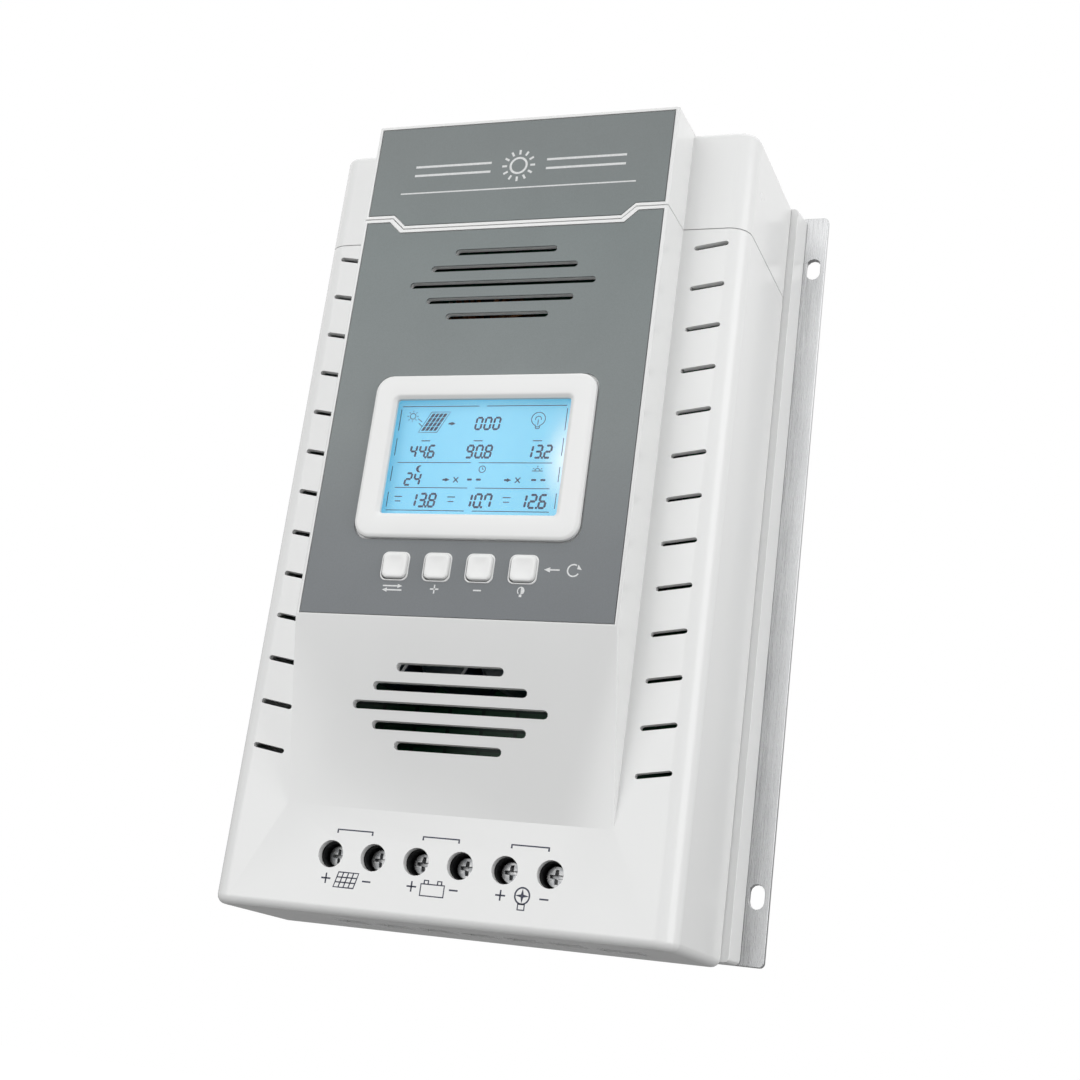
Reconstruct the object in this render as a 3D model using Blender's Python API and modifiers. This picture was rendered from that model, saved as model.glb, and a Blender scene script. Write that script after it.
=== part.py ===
"""Wall-mounted solar charge controller, modelled piece by piece as it is assembled.

X runs across the front, +Z up, and the front faces -Y. The origin is on the wall, half way
across the back plate and HEAD_Z below the top end. Depths (names with _D, and every d argument) are distances out from the
wall, so a depth d lies at y = -d. Lengths are in metres.
"""

import math

import bmesh
import bpy
from mathutils import Matrix, Vector

MM = 0.001
GAP = 0.3 * MM              # between pieces that touch
CUT_PAST = 0.2 * MM         # how far a cutter runs past the face it cuts
WELD = 0.002 * MM           # points this near are one point
FLAT = math.radians(5)      # faces that meet at less than this are one flat face

# Case
HEIGHT = 241.8 * MM
HEAD_Z = 119 * MM           # top end above the origin
WIDTH = 138.5 * MM
SHOULDER_D = 57.0 * MM      # wall to the flat shoulders
SLAB_RISE = 15.5 * MM       # raised middle slab above the shoulders
WALL = 2.2 * MM
SIDE_ROUND = 6.0 * MM
SIDE_STEPS = 5              # flats round each of those corners
SIDE_DRAFT = 1.0 * MM       # how far each side leans out towards the wall
FOOT_ROUND = 2.6 * MM
HEAD_ROUND = 1.6 * MM
END_STEPS = 4               # flats round the rolled ends

# Raised slab, its ramp and the line where the top cap meets the front cover
SLAB_WIDTH = WIDTH - 40.6 * MM
SLAB_DRAFT = 0.6 * MM
SLAB_ROUND = 0.5 * MM
SLAB_ROOT = 3.1 * MM        # how deep the slab runs into the shoulders
INNER_BEND = 0.33 * MM      # how much higher the ramp's bend is inside
RAMP_START = 82.1 * MM      # above the bottom end
RAMP_END = 29.9 * MM
CAP_LENGTH = 32.6 * MM      # down from the top end
TONGUE_DROP = 3.8 * MM
TONGUE_TOP = SLAB_WIDTH - 19.5 * MM     # width of the cap's tongue where it starts
TONGUE_FOOT = TONGUE_TOP - 8.2 * MM

# Grey overlays in their pockets
POCKET = 0.8 * MM
LABEL_THICK = 0.4 * MM
LABEL_WIDTH = SLAB_WIDTH - 2.1 * MM
BAND = 2.2 * MM             # white band left between the two overlays
LABEL_TOP_EDGE = 0.9 * MM
LABEL_FOOT_EDGE = 0.4 * MM
HEADER_TUCK = 0.2 * MM      # header's tongue inside the cap's, on each side
FACE_SPREAD = 0.9 * MM      # face overlay's notch outside it

# Vents: diamond grilles in the slab and the ramp, short slots in the shoulders
GRILLE_LENGTHS = [32.6 * MM, 46.8 * MM, 59.2 * MM, 46.8 * MM, 32.6 * MM]
GRILLE_PITCH = 5.3 * MM
UPPER_SLOT = 2.0 * MM
LOWER_SLOT = 2.4 * MM
UPPER_GRILLE_BELOW_CAP = 23.2 * MM
LOWER_GRILLE = 58.2 * MM    # above the bottom end
VENTS = 13
VENT_LENGTH = 10.5 * MM
VENT_SLOT = 1.5 * MM
VENT_TILT = math.radians(9)
VENT_X = WIDTH / 2 - 10.65 * MM
VENT_TOP = 38.2 * MM        # first vent below the top end
VENT_FOOT = 45.4 * MM       # last vent above the bottom end

# Display
BEZEL_WIDTH = 69.2 * MM
BEZEL_HEIGHT = 50.5 * MM
BEZEL_ROUND = 4.5 * MM
BEZEL_PROUD = 1.3 * MM
BEZEL_EDGE = 0.8 * MM
BEZEL_FOOT = 23.45 * MM     # its lower edge above the ramp
BEZEL_RIM = 2.5 * MM        # how far the bezel's flange laps over the cover
WINDOW_WIDTH = BEZEL_WIDTH - 14.8 * MM
WINDOW_HEIGHT = BEZEL_HEIGHT - 14.9 * MM
WINDOW_ROUND = 1.2 * MM
WINDOW_THICK = 1.5 * MM
WINDOW_SEAT = 1.5 * MM      # how far the window's seat reaches behind the bezel
PANEL_SET = 1.8 * MM        # panel's face behind the slab's inner face
PANEL_THICK = 3.0 * MM
PANEL_MARGIN = 2.2 * MM
LIGHT_THICK = 2.7 * MM
DISPLAY_BOARD_THICK = 1.6 * MM
DISPLAY_BOARD_WIDTH = SLAB_WIDTH - 9.9 * MM
DISPLAY_BOARD_ROUND = 2 * MM
DISPLAY_BOARD_FOOT = 7 * MM     # below the buttons' middle
DISPLAY_BOARD_HEAD = 3 * MM     # above the bezel
DISPLAY_SCREW_EDGE = 4 * MM     # screws from the board's edges
DISPLAY_HOLE = 1.3 * MM
DISPLAY_SCREW_RADIUS = 1.0 * MM
DISPLAY_SCREW_HEAD = 2.2 * MM
DISPLAY_HEAD_THICK = 1.7 * MM
BOSS_RADIUS = 2.6 * MM

# Push buttons
BUTTONS = 4
BUTTON_PITCH = 13.05 * MM
BUTTON_SIZE = 7.5 * MM
BUTTON_ROUND = 1.4 * MM
BUTTON_ABOVE_RAMP = 15.3 * MM
BUTTON_EDGE = 0.5 * MM
BUTTON_PROUD = 1.1 * MM
BUTTON_LIP = 1.1 * MM
BUTTON_LIP_THICK = 1.0 * MM
BUTTON_TRAVEL = 1.0 * MM
SWITCH_SIZE = 6.0 * MM
SWITCH_BODY = 3.6 * MM
PLUNGER_RADIUS = 1.7 * MM

# Terminals
POLES = 6
POLE_PITCH = 13.2 * MM
POLE_Z = 16.6 * MM          # above the bottom end
ACCESS_RADIUS = 3.85 * MM
BLOCK_HEIGHT = 25.8 * MM
BLOCK_END = 0.6 * MM
BLOCK_FLOOR = 2.2 * MM      # behind the wire chambers
CHAMBER_WIDTH = 9.8 * MM
CHAMBER_HEIGHT = 21.8 * MM
CLAMP_WIDTH = 9.0 * MM
CLAMP_DEPTH = 10.0 * MM
CLAMP_LENGTH = 10.0 * MM
CLAMP_WALL = 1.4 * MM
CLAMP_RISE = 6.8 * MM       # above the block's lower face
CLAMP_TRAVEL = 3.5 * MM
TONGUE_WIDTH = 5.0 * MM
TONGUE_THICK = 1.2 * MM
SCREW_HEAD_RADIUS = 3.2 * MM
SCREW_HEAD_THICK = 2.6 * MM
SCREW_RADIUS = 1.9 * MM
SCREW_EDGE = 0.4 * MM
CROSS_LENGTH = 4.0 * MM
CROSS_WIDTH = 0.9 * MM
CROSS_DEPTH = 1.6 * MM
SCREW_RECESS = 5.6 * MM     # head below the shoulder face
NECK = 0.35 * MM            # running clearance round the terminal screws
ENTRY_WIDTH = 9.6 * MM
ENTRY_DEPTH = 10.0 * MM
ENTRY_BACK = 0.6 * MM       # entries' middle behind the chambers'

# Back
RIM_D = 10.0 * MM           # front edge of the rear case
RIM_WIDTH = WIDTH + 6.7 * MM
RIM_DRAFT = 1.5 * MM
RIM_FOOT = 1.7 * MM
RIM_HEAD = 0.8 * MM
RIM_ROUND = 1.5 * MM
RIM_WALL_INNER = WIDTH - 2 * WALL - 0.5 * MM
FLOOR_THICK = 2.0 * MM
PLATE_WIDTH = WIDTH + 23.5 * MM
PLATE_THICK = 2.0 * MM
PLATE_ROUND = 1.5 * MM
PLATE_HEAD = 0.2 * MM       # top edge below the case's
SLOT_WIDTH = 4.5 * MM
SLOT_LENGTH = 7.2 * MM
SLOT_EDGE = 3.7 * MM        # slot centre from the flange's edge
SLOT_HEAD = 18.7 * MM       # upper slots below the top end
SLOT_FOOT = 21.6 * MM

# Inside
SINK_WIDTH = WIDTH - 32.5 * MM
SINK_BASE = 5.0 * MM
SINK_MARGIN = 8.0 * MM      # clear of the case's end walls and terminals
SINK_CLEAR = 2.0 * MM       # to the tray's opening all round
FINS = 9
FIN_THICK = 1.6 * MM
FIN_SPAN = SINK_WIDTH - 22 * MM
FIN_EDGE = 1.0 * MM         # fins short of the base's ends
BOARD_D = SHOULDER_D - 32.5 * MM
SINK_HEIGHT = BOARD_D - 6.3 * MM
BOARD_THICK = 1.6 * MM
BOARD_ROUND = 1.5 * MM
BOARD_WIDTH = WIDTH - 26.5 * MM
BOARD_MARGIN = 4.0 * MM
STANDOFF_RADIUS = 3.0 * MM
STANDOFF_X = SINK_WIDTH / 2 - 4 * MM
STANDOFF_EDGE = 5 * MM      # from the sink's ends
POST_RADIUS = 3.6 * MM
POST_X = WIDTH / 2 - 7.95 * MM
POST_Z = 10.5 * MM          # from either end of the case
POST_BORE = 1.7 * MM
COVER_SCREW_RADIUS = 1.4 * MM
COVER_SCREW_HEAD = 2.9 * MM
COVER_SCREW_LENGTH = 26 * MM
COVER_SCREW_POINT = 1.0 * MM
CORE_RADIUS = 12.5 * MM
CORE_THICK = 6.5 * MM
CORE_SPACE = 4.0 * MM       # between the two inductors
CAPACITOR_RADIUS = 8.0 * MM
CAPACITOR_LENGTH = 25 * MM
CAPACITORS = 4
CAPACITOR_SPACE = 3 * MM
CAPACITOR_DROP = 6 * MM     # their middle below the ramp's bend
GROOVE_LOW = 2.0 * MM       # rolled groove round a capacitor's foot
GROOVE_HIGH = 3.2 * MM
GROOVE_DEEP = 0.6 * MM
CAN_EDGE = 0.8 * MM
CAN_DISH = 0.3 * MM
FUSE_X = 20 * MM
FUSE_ABOVE_BLOCK = 14 * MM
FUSE_BODY = (19 * MM, 11 * MM, 5.2 * MM)    # across, out and up
FUSE_ROUND = 0.8 * MM
BLADE_WIDTH = 4.8 * MM
BLADE_THICK = 1.0 * MM
BLADE_PITCH = 12 * MM
BLADE_LENGTH = 6 * MM
BANK_X = 46 * MM
BANK_ABOVE_BEND = 10 * MM
BANK_LENGTH = 62 * MM
BANK_BAR = (3 * MM, 4 * MM, 18 * MM)        # thickness, and from and to above the board
PACKAGES = 4
PACKAGE = (4.6 * MM, 15 * MM, 10 * MM)      # across, out and up
PACKAGE_SHIFT = 1.0 * MM    # outwards from the bar's middle
SOCKET_WIDTH = 13.2 * MM
SOCKET_DEPTH = 11.6 * MM
SOCKET_LENGTH = 15 * MM
SOCKET_X = POLES * POLE_PITCH / 2 + 8.4 * MM
SOCKET_WALL = 1.7 * MM
RIBBON_WIDTH = 16 * MM
RIBBON_HALF_THICK = 0.45 * MM
RIBBON_STEPS = 16
RIBBON_START = 18 * MM      # its ends below the bezel's middle
RIBBON_END = 4 * MM

TOP = HEAD_Z
FOOT = TOP - HEIGHT
SLAB_D = SHOULDER_D + SLAB_RISE
SPLIT_Z = TOP - CAP_LENGTH
BEND_Z = FOOT + RAMP_START
RAMP_Z = FOOT + RAMP_END
POCKET_D = SLAB_D - POCKET
LABEL_D = POCKET_D + GAP
LABEL_FACE_D = LABEL_D + LABEL_THICK
INNER_D = SHOULDER_D - WALL
SLAB_INNER_D = SLAB_D - WALL
BEZEL_Z = BEND_Z + BEZEL_FOOT + BEZEL_HEIGHT / 2
BUTTON_Z = BEND_Z + BUTTON_ABOVE_RAMP
COVER_BACK_D = RIM_D + GAP

BOARD_FACE_D = BOARD_D + BOARD_THICK
ON_BOARD_D = BOARD_FACE_D + GAP
SINK_D = PLATE_THICK + GAP
SINK_BASE_D = SINK_D + SINK_BASE

NECK_D = POCKET_D + GAP                     # underside of the bezel's flange
PANEL_FRONT_D = SLAB_INNER_D - PANEL_SET
PANEL_D = PANEL_FRONT_D - PANEL_THICK
LIGHT_D = PANEL_D - GAP - LIGHT_THICK
DISPLAY_BOARD_D = LIGHT_D - GAP - DISPLAY_BOARD_THICK
ON_DISPLAY_D = LIGHT_D

LIP_D = SLAB_INNER_D - GAP - BUTTON_LIP_THICK
SWITCH_TOP_D = LIP_D - BUTTON_TRAVEL - GAP

BLOCK_FRONT_D = INNER_D - 2 * GAP
BLOCK_FOOT = FOOT + WALL + GAP
HEAD_TOP_D = SHOULDER_D - SCREW_RECESS
HEAD_BOTTOM_D = HEAD_TOP_D - SCREW_HEAD_THICK
SEAT_D = HEAD_BOTTOM_D - GAP
CHAMBER_BACK_D = ON_BOARD_D + BLOCK_FLOOR
CLAMP_D = CHAMBER_BACK_D + GAP
CHAMBER_FRONT_D = CLAMP_D + CLAMP_DEPTH + CLAMP_TRAVEL + GAP
TONGUE_FRONT_D = CLAMP_D + CLAMP_DEPTH - CLAMP_WALL - GAP
SCREW_TIP_D = TONGUE_FRONT_D + GAP
CLAMP_FOOT = BLOCK_FOOT + CLAMP_RISE
ENTRY_D = (CHAMBER_BACK_D + CHAMBER_FRONT_D) / 2 - ENTRY_BACK

PARTS = bpy.data.collections.new("charge_controller")
CUTTERS = bpy.data.collections.new("cutters")


# ---------------------------------------------------------------- helpers

def clear_scene():
    for old in list(bpy.data.objects):
        bpy.data.objects.remove(old)
    for group in (PARTS, CUTTERS):
        bpy.context.scene.collection.children.link(group)
    CUTTERS.hide_render = True


def material(name, colour, roughness, metallic=0.0, alpha=1.0):
    made = bpy.data.materials.new(name)
    made.use_nodes = True
    shader = made.node_tree.nodes["Principled BSDF"]
    shader.inputs["Base Color"].default_value = (*colour, 1)
    shader.inputs["Roughness"].default_value = roughness
    shader.inputs["Metallic"].default_value = metallic
    shader.inputs["Alpha"].default_value = alpha
    return made


def as_object(name, shape):
    """A mesh object from a bmesh, first kept with the cutters."""
    bmesh.ops.recalc_face_normals(shape, faces=shape.faces)
    mesh = bpy.data.meshes.new(name)
    shape.to_mesh(mesh)
    shape.free()
    made = bpy.data.objects.new(name, mesh)
    CUTTERS.objects.link(made)
    made.hide_render = True
    made.display_type = "WIRE"
    return made


def finish(obj, finish_material, smooth_above=30):
    """Moves a shaped object to the parts, with its finish."""
    CUTTERS.objects.unlink(obj)
    PARTS.objects.link(obj)
    obj.hide_render = False
    obj.display_type = "TEXTURED"
    obj.data.materials.clear()
    obj.data.materials.append(finish_material)
    obj.data.shade_smooth()
    obj.data.set_sharp_from_angle(angle=math.radians(smooth_above))
    return obj


def box(name, x, d, z):
    """A box from its low and high x, depth and z."""
    shape = bmesh.new()
    bmesh.ops.create_cube(shape, size=1)
    size = Vector((x[1] - x[0], d[1] - d[0], z[1] - z[0]))
    centre = Vector(((x[0] + x[1]) / 2, -(d[0] + d[1]) / 2, (z[0] + z[1]) / 2))
    bmesh.ops.scale(shape, vec=size, verts=shape.verts)
    bmesh.ops.translate(shape, vec=centre, verts=shape.verts)
    return as_object(name, shape)


def round_edges(obj, radius, segments, wanted):
    """Rounds the real corners whose middle and direction the test `wanted` accepts."""
    shape = bmesh.new()
    shape.from_mesh(obj.data)
    edges = []
    for edge in shape.edges:
        low, high = (vert.co for vert in edge.verts)
        if len(edge.link_faces) != 2 or edge.calc_face_angle() < FLAT:
            continue
        if wanted((low + high) / 2, (high - low).normalized()):
            edges.append(edge)
    bmesh.ops.bevel(shape, geom=edges, offset=radius, segments=segments, profile=0.5,
                    affect="EDGES", clamp_overlap=True)
    bmesh.ops.triangulate(shape, faces=shape.faces)
    shape.to_mesh(obj.data)
    shape.free()
    return obj


def to_mesh(name, source, matrix):
    """A curve made a mesh in its place, with its caps welded."""
    source.matrix_world = matrix
    CUTTERS.objects.link(source)
    bpy.context.view_layer.update()
    graph = bpy.context.evaluated_depsgraph_get()
    mesh = bpy.data.meshes.new_from_object(source.evaluated_get(graph))
    bpy.data.objects.remove(source)
    shape = bmesh.new()
    shape.from_mesh(mesh)
    bpy.data.meshes.remove(mesh)
    bmesh.ops.transform(shape, matrix=matrix, verts=shape.verts)
    bmesh.ops.remove_doubles(shape, verts=shape.verts, dist=WELD)
    return as_object(name, shape)


def outline_curve(name, outline, half):
    curve = bpy.data.curves.new(name, "CURVE")
    curve.dimensions = "2D"
    curve.fill_mode = "BOTH"
    curve.extrude = half
    spline = curve.splines.new("POLY")
    spline.points.add(len(outline) - 1)
    for point, (u, v) in zip(spline.points, outline):
        point.co = (u, v, 0, 1)
    spline.use_cyclic_u = True
    return bpy.data.objects.new(name, curve)


def plate(name, outline, low_d, high_d):
    """A flat outline of (x, z) points, between two depths."""
    place = Matrix.Translation((0, -(low_d + high_d) / 2, 0)) @ Matrix.Rotation(math.pi / 2, 4, "X")
    return to_mesh(name, outline_curve(name, outline, (high_d - low_d) / 2), place)


def side_profile(name, outline, low_x, high_x):
    """A flat outline of (depth, z) points, between two x."""
    place = Matrix(((0, 0, 1, (low_x + high_x) / 2), (-1, 0, 0, 0), (0, 1, 0, 0), (0, 0, 0, 1)))
    return to_mesh(name, outline_curve(name, outline, (high_x - low_x) / 2), place)


def rounded_outline(x, z, width, height, radius, steps=5):
    """A rectangle with round corners about (x, z)."""
    points = []
    for quarter, (side, level) in enumerate(((1, 1), (-1, 1), (-1, -1), (1, -1))):
        for step in range(steps + 1):
            angle = math.pi / 2 * (quarter + step / steps)
            points.append((x + side * (width / 2 - radius) + radius * math.cos(angle),
                           z + level * (height / 2 - radius) + radius * math.sin(angle)))
    return points


def slot_outline(x, z, length, width, angle=0.0, steps=5):
    """A slot with round ends, its length turned by an angle from +X."""
    points = []
    for end in (1, -1):
        for step in range(steps + 1):
            turn = math.pi * (step / steps - 0.5) + (0 if end == 1 else math.pi)
            u = end * (length - width) / 2 + width / 2 * math.cos(turn)
            v = width / 2 * math.sin(turn)
            points.append((x + u * math.cos(angle) - v * math.sin(angle),
                           z + u * math.sin(angle) + v * math.cos(angle)))
    return points


def rod(name, x, z, radius, low_d, high_d, sides=20):
    """A round bar square to the wall."""
    shape = bmesh.new()
    place = Matrix.Translation((x, -(low_d + high_d) / 2, z)) @ Matrix.Rotation(math.pi / 2, 4, "X")
    bmesh.ops.create_cone(shape, cap_ends=True, segments=sides, radius1=radius, radius2=radius,
                          depth=high_d - low_d, matrix=place)
    return as_object(name, shape)


def turned(name, profile, x, z, finish_material, sides=24):
    """A turned piece on an axis square to the wall, from (radius, depth) pairs, front to back."""
    mesh = bpy.data.meshes.new(name)
    points = [(radius, 0, depth - profile[0][1]) for radius, depth in profile]
    mesh.from_pydata(points, [(i, i + 1) for i in range(len(points) - 1)], [])
    made = bpy.data.objects.new(name, mesh)
    CUTTERS.objects.link(made)
    spin = made.modifiers.new("turn", "SCREW")
    spin.steps = spin.render_steps = sides
    spin.use_merge_vertices = True
    spin.merge_threshold = 1e-5
    made.location = (x, -profile[0][1], z)
    made.rotation_euler = (math.pi / 2, 0, 0)
    return finish(made, finish_material)


def combine(target, operation, *others):
    """Joins, cuts or trims a piece by all the others in one step."""
    tools = bpy.data.collections.new("tools")
    for other in others:
        tools.objects.link(other)
    step = target.modifiers.new(operation.lower(), "BOOLEAN")
    step.operation = operation
    step.solver = "EXACT"
    step.operand_type = "COLLECTION"
    step.collection = tools
    settle(target)
    bpy.data.collections.remove(tools)
    return target


def settle(obj):
    """Applies an object's modifiers and welds what they leave."""
    bpy.context.view_layer.update()
    graph = bpy.context.evaluated_depsgraph_get()
    mesh = bpy.data.meshes.new_from_object(obj.evaluated_get(graph))
    obj.modifiers.clear()
    shape = bmesh.new()
    shape.from_mesh(mesh)
    bmesh.ops.remove_doubles(shape, verts=shape.verts, dist=WELD)
    bmesh.ops.dissolve_degenerate(shape, edges=shape.edges, dist=WELD)
    shape.to_mesh(mesh)
    shape.free()
    obj.data = mesh
    return obj


def merge(name, pieces):
    """Cutters that don't meet, joined into one."""
    shape = bmesh.new()
    for piece in pieces:
        shape.from_mesh(piece.data)
        bpy.data.objects.remove(piece)
    return as_object(name, shape)


def centred(count, pitch):
    return [(index - (count - 1) / 2) * pitch for index in range(count)]


# ---------------------------------------------------------------- case

def slab_body(name, width, draft, low_d, high_d, ends):
    """The slab and its ramp: (depth, z) side outline with slightly leaning sides."""
    top, bend, ramp = ends
    outline = [(low_d, top), (high_d, top), (high_d, bend), (low_d, ramp)]
    made = side_profile(name, outline, -width / 2, width / 2)
    for vert in made.data.vertices:
        lean = draft * (high_d + vert.co.y) / (high_d - low_d)
        vert.co.x += math.copysign(lean, vert.co.x)
    return made


def case_ring(inset):
    """The case seen from below, (x, depth), smaller by an inset all round but at its open back."""
    half, front, radius = WIDTH / 2 - inset, SHOULDER_D - inset, SIDE_ROUND - inset
    right = [(half + SIDE_DRAFT, COVER_BACK_D)]
    for step in range(SIDE_STEPS + 1):
        turn = math.pi / 2 * step / SIDE_STEPS
        right.append((half - radius * (1 - math.cos(turn)), front - radius * (1 - math.sin(turn))))
    return right + [(-x, d) for x, d in reversed(right)]


def rolled_end(radius):
    """(inset, height) from an end's face up to where its rounding runs out."""
    turns = [math.pi / 2 * step / END_STEPS for step in range(END_STEPS + 1)]
    return [(radius * (1 - math.sin(turn)), radius * (1 - math.cos(turn))) for turn in turns]


def case_body():
    """The case's outside: rings of one outline from the foot up, drawn in at both ends."""
    levels = [(inset, FOOT + height) for inset, height in rolled_end(FOOT_ROUND)]
    levels += [(inset, TOP - height) for inset, height in reversed(rolled_end(HEAD_ROUND))]
    shape = bmesh.new()
    rings = [[shape.verts.new((x, -d, z)) for x, d in case_ring(inset)] for inset, z in levels]
    for low, high in zip(rings, rings[1:]):
        for index in range(len(low)):
            shape.faces.new((low[index - 1], low[index], high[index], high[index - 1]))
    shape.faces.new(rings[0])
    shape.faces.new(rings[-1])
    bmesh.ops.triangulate(shape, faces=shape.faces)
    return as_object("case_outer", shape)


def case_shell():
    """The outer case as one shell, before it's split into cover and cap."""
    outer = case_body()
    slope = (BEND_Z - RAMP_Z) / SLAB_RISE
    slab = slab_body("slab_outer", SLAB_WIDTH, SLAB_DRAFT, SHOULDER_D - SLAB_ROOT, SLAB_D,
                     (TOP, BEND_Z, RAMP_Z - SLAB_ROOT * slope))
    round_edges(slab, SLAB_ROUND, 2, lambda middle, along: middle.y < -SHOULDER_D
                and abs(middle.x) > SLAB_WIDTH / 4 and abs(along.y) < 0.9)
    inner = box("case_inner", (WALL - WIDTH / 2, WIDTH / 2 - WALL), (COVER_BACK_D - WALL, INNER_D),
                (FOOT + WALL, TOP - WALL))
    low_d = INNER_D - WALL
    inner_bend = BEND_Z + INNER_BEND
    hollow = slab_body("slab_inner", SLAB_WIDTH - 2 * WALL, SLAB_DRAFT, low_d, SLAB_INNER_D,
                       (TOP - WALL, inner_bend, inner_bend - (SLAB_INNER_D - low_d) * slope))
    combine(inner, "UNION", hollow)
    return combine(outer, "UNION", slab), inner


def split_line(shift):
    """The stepped line where the cap meets the cover, left to right."""
    far = WIDTH
    line = SPLIT_Z + shift
    return [(-far, line), (-TONGUE_TOP / 2, line), (-TONGUE_FOOT / 2, line - TONGUE_DROP),
            (TONGUE_FOOT / 2, line - TONGUE_DROP), (TONGUE_TOP / 2, line), (far, line)]


def cap_region(name, shift):
    """Everything above that line."""
    far = WIDTH
    outline = split_line(shift) + [(far, TOP + far), (-far, TOP + far)]
    return plate(name, outline, -WALL, SLAB_D + far)


def cover_region(name, shift):
    """Everything below it."""
    far = WIDTH
    outline = split_line(shift) + [(far, FOOT - far), (-far, FOOT - far)]
    return plate(name, outline, -WALL, SLAB_D + far)


def label_outlines(inset):
    """The header overlay and the face overlay, shrunk by an inset."""
    half = LABEL_WIDTH / 2 - inset
    upper = SPLIT_Z + BAND / 2 + inset
    lower = SPLIT_Z - BAND / 2 - inset
    top = TOP - LABEL_TOP_EDGE - inset
    ramp = BEND_Z + LABEL_FOOT_EDGE + inset
    drop = TONGUE_DROP
    upper_knee, upper_foot = TONGUE_TOP / 2 - HEADER_TUCK, TONGUE_FOOT / 2 - HEADER_TUCK
    lower_knee, lower_foot = TONGUE_TOP / 2 + FACE_SPREAD, TONGUE_FOOT / 2 + FACE_SPREAD
    header = [(-half, upper), (-upper_knee, upper), (-upper_foot, upper - drop),
              (upper_foot, upper - drop), (upper_knee, upper), (half, upper), (half, top),
              (-half, top)]
    face = [(-half, ramp), (half, ramp), (half, lower), (lower_knee, lower),
            (lower_foot, lower - drop), (-lower_foot, lower - drop), (-lower_knee, lower),
            (-half, lower)]
    return header, face


def grille_cutter(name, middle, width, low_d, high_d, pitch):
    rows = [middle - level for level in centred(len(GRILLE_LENGTHS), pitch)]
    return merge(name, [plate(name + "_row", slot_outline(0, row, length, width), low_d, high_d)
                        for row, length in zip(rows, GRILLE_LENGTHS)])


def vent_cutter():
    first = TOP - VENT_TOP
    pitch = (first - FOOT - VENT_FOOT) / (VENTS - 1)
    slots = []
    for side in (-1, 1):
        for row in range(VENTS):
            outline = slot_outline(side * VENT_X, first - row * pitch, VENT_LENGTH, VENT_SLOT,
                                   side * VENT_TILT, steps=4)
            slots.append(plate("vent", outline, INNER_D - WALL, SHOULDER_D + WALL))
    return merge("vent_cutter", slots)


def face_cutter():
    """Openings for the bezel's neck, the buttons and the upper grille."""
    low_d, high_d = SLAB_INNER_D - WALL, SLAB_D + WALL
    neck = rounded_outline(0, BEZEL_Z, BEZEL_WIDTH - 2 * BEZEL_RIM + 2 * GAP,
                           BEZEL_HEIGHT - 2 * BEZEL_RIM + 2 * GAP, BEZEL_ROUND - BEZEL_RIM + GAP)
    pieces = [plate("neck_cutter", neck, low_d, high_d)]
    for x in centred(BUTTONS, BUTTON_PITCH):
        size = BUTTON_SIZE + 2 * GAP
        pieces.append(plate("button_cutter", rounded_outline(x, BUTTON_Z, size, size, BUTTON_ROUND),
                            low_d, high_d))
    return merge("face_cutter", pieces)


def foot_cutter():
    """Wire entries and the data socket's opening in the bottom end."""
    height = (FOOT - WALL, FOOT + 2 * WALL - GAP)
    pieces = []
    for x in centred(POLES, POLE_PITCH):
        pieces.append(box("entry", (x - ENTRY_WIDTH / 2, x + ENTRY_WIDTH / 2),
                          (ENTRY_D - ENTRY_DEPTH / 2, ENTRY_D + ENTRY_DEPTH / 2), height))
    pieces.append(box("socket_mouth", (SOCKET_X - SOCKET_WIDTH / 2, SOCKET_X + SOCKET_WIDTH / 2),
                      (ON_BOARD_D + SOCKET_WALL, ON_BOARD_D + SOCKET_DEPTH), height))
    return merge("foot_cutter", pieces)


def posts(level):
    """Screw posts on both sides at one level, from the shoulder down to the case's back edge."""
    made = []
    for side in (-1, 1):
        post = rod("post", side * POST_X, level, POST_RADIUS, COVER_BACK_D + GAP,
                   SHOULDER_D - WALL / 2)
        bore = rod("post_bore", side * POST_X, level, POST_BORE, 0,
                   COVER_SCREW_LENGTH + 2 * MM, 12)
        made.append(combine(post, "DIFFERENCE", bore))
    return made


def display_bosses():
    made = []
    for x, z in display_screw_places():
        made.append(rod("boss", x, z, BOSS_RADIUS, DISPLAY_BOARD_D + DISPLAY_BOARD_THICK + GAP,
                        SLAB_INNER_D + WALL / 3, 14))
    return made


def display_screw_places():
    edge = DISPLAY_SCREW_EDGE
    x = DISPLAY_BOARD_WIDTH / 2 - edge
    low, high = display_board_ends()
    return [(side * x, level) for side in (-1, 1) for level in (low + edge, high - edge)]


def display_board_ends():
    return BUTTON_Z - DISPLAY_BOARD_FOOT, BEZEL_Z + BEZEL_HEIGHT / 2 + DISPLAY_BOARD_HEAD


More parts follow.
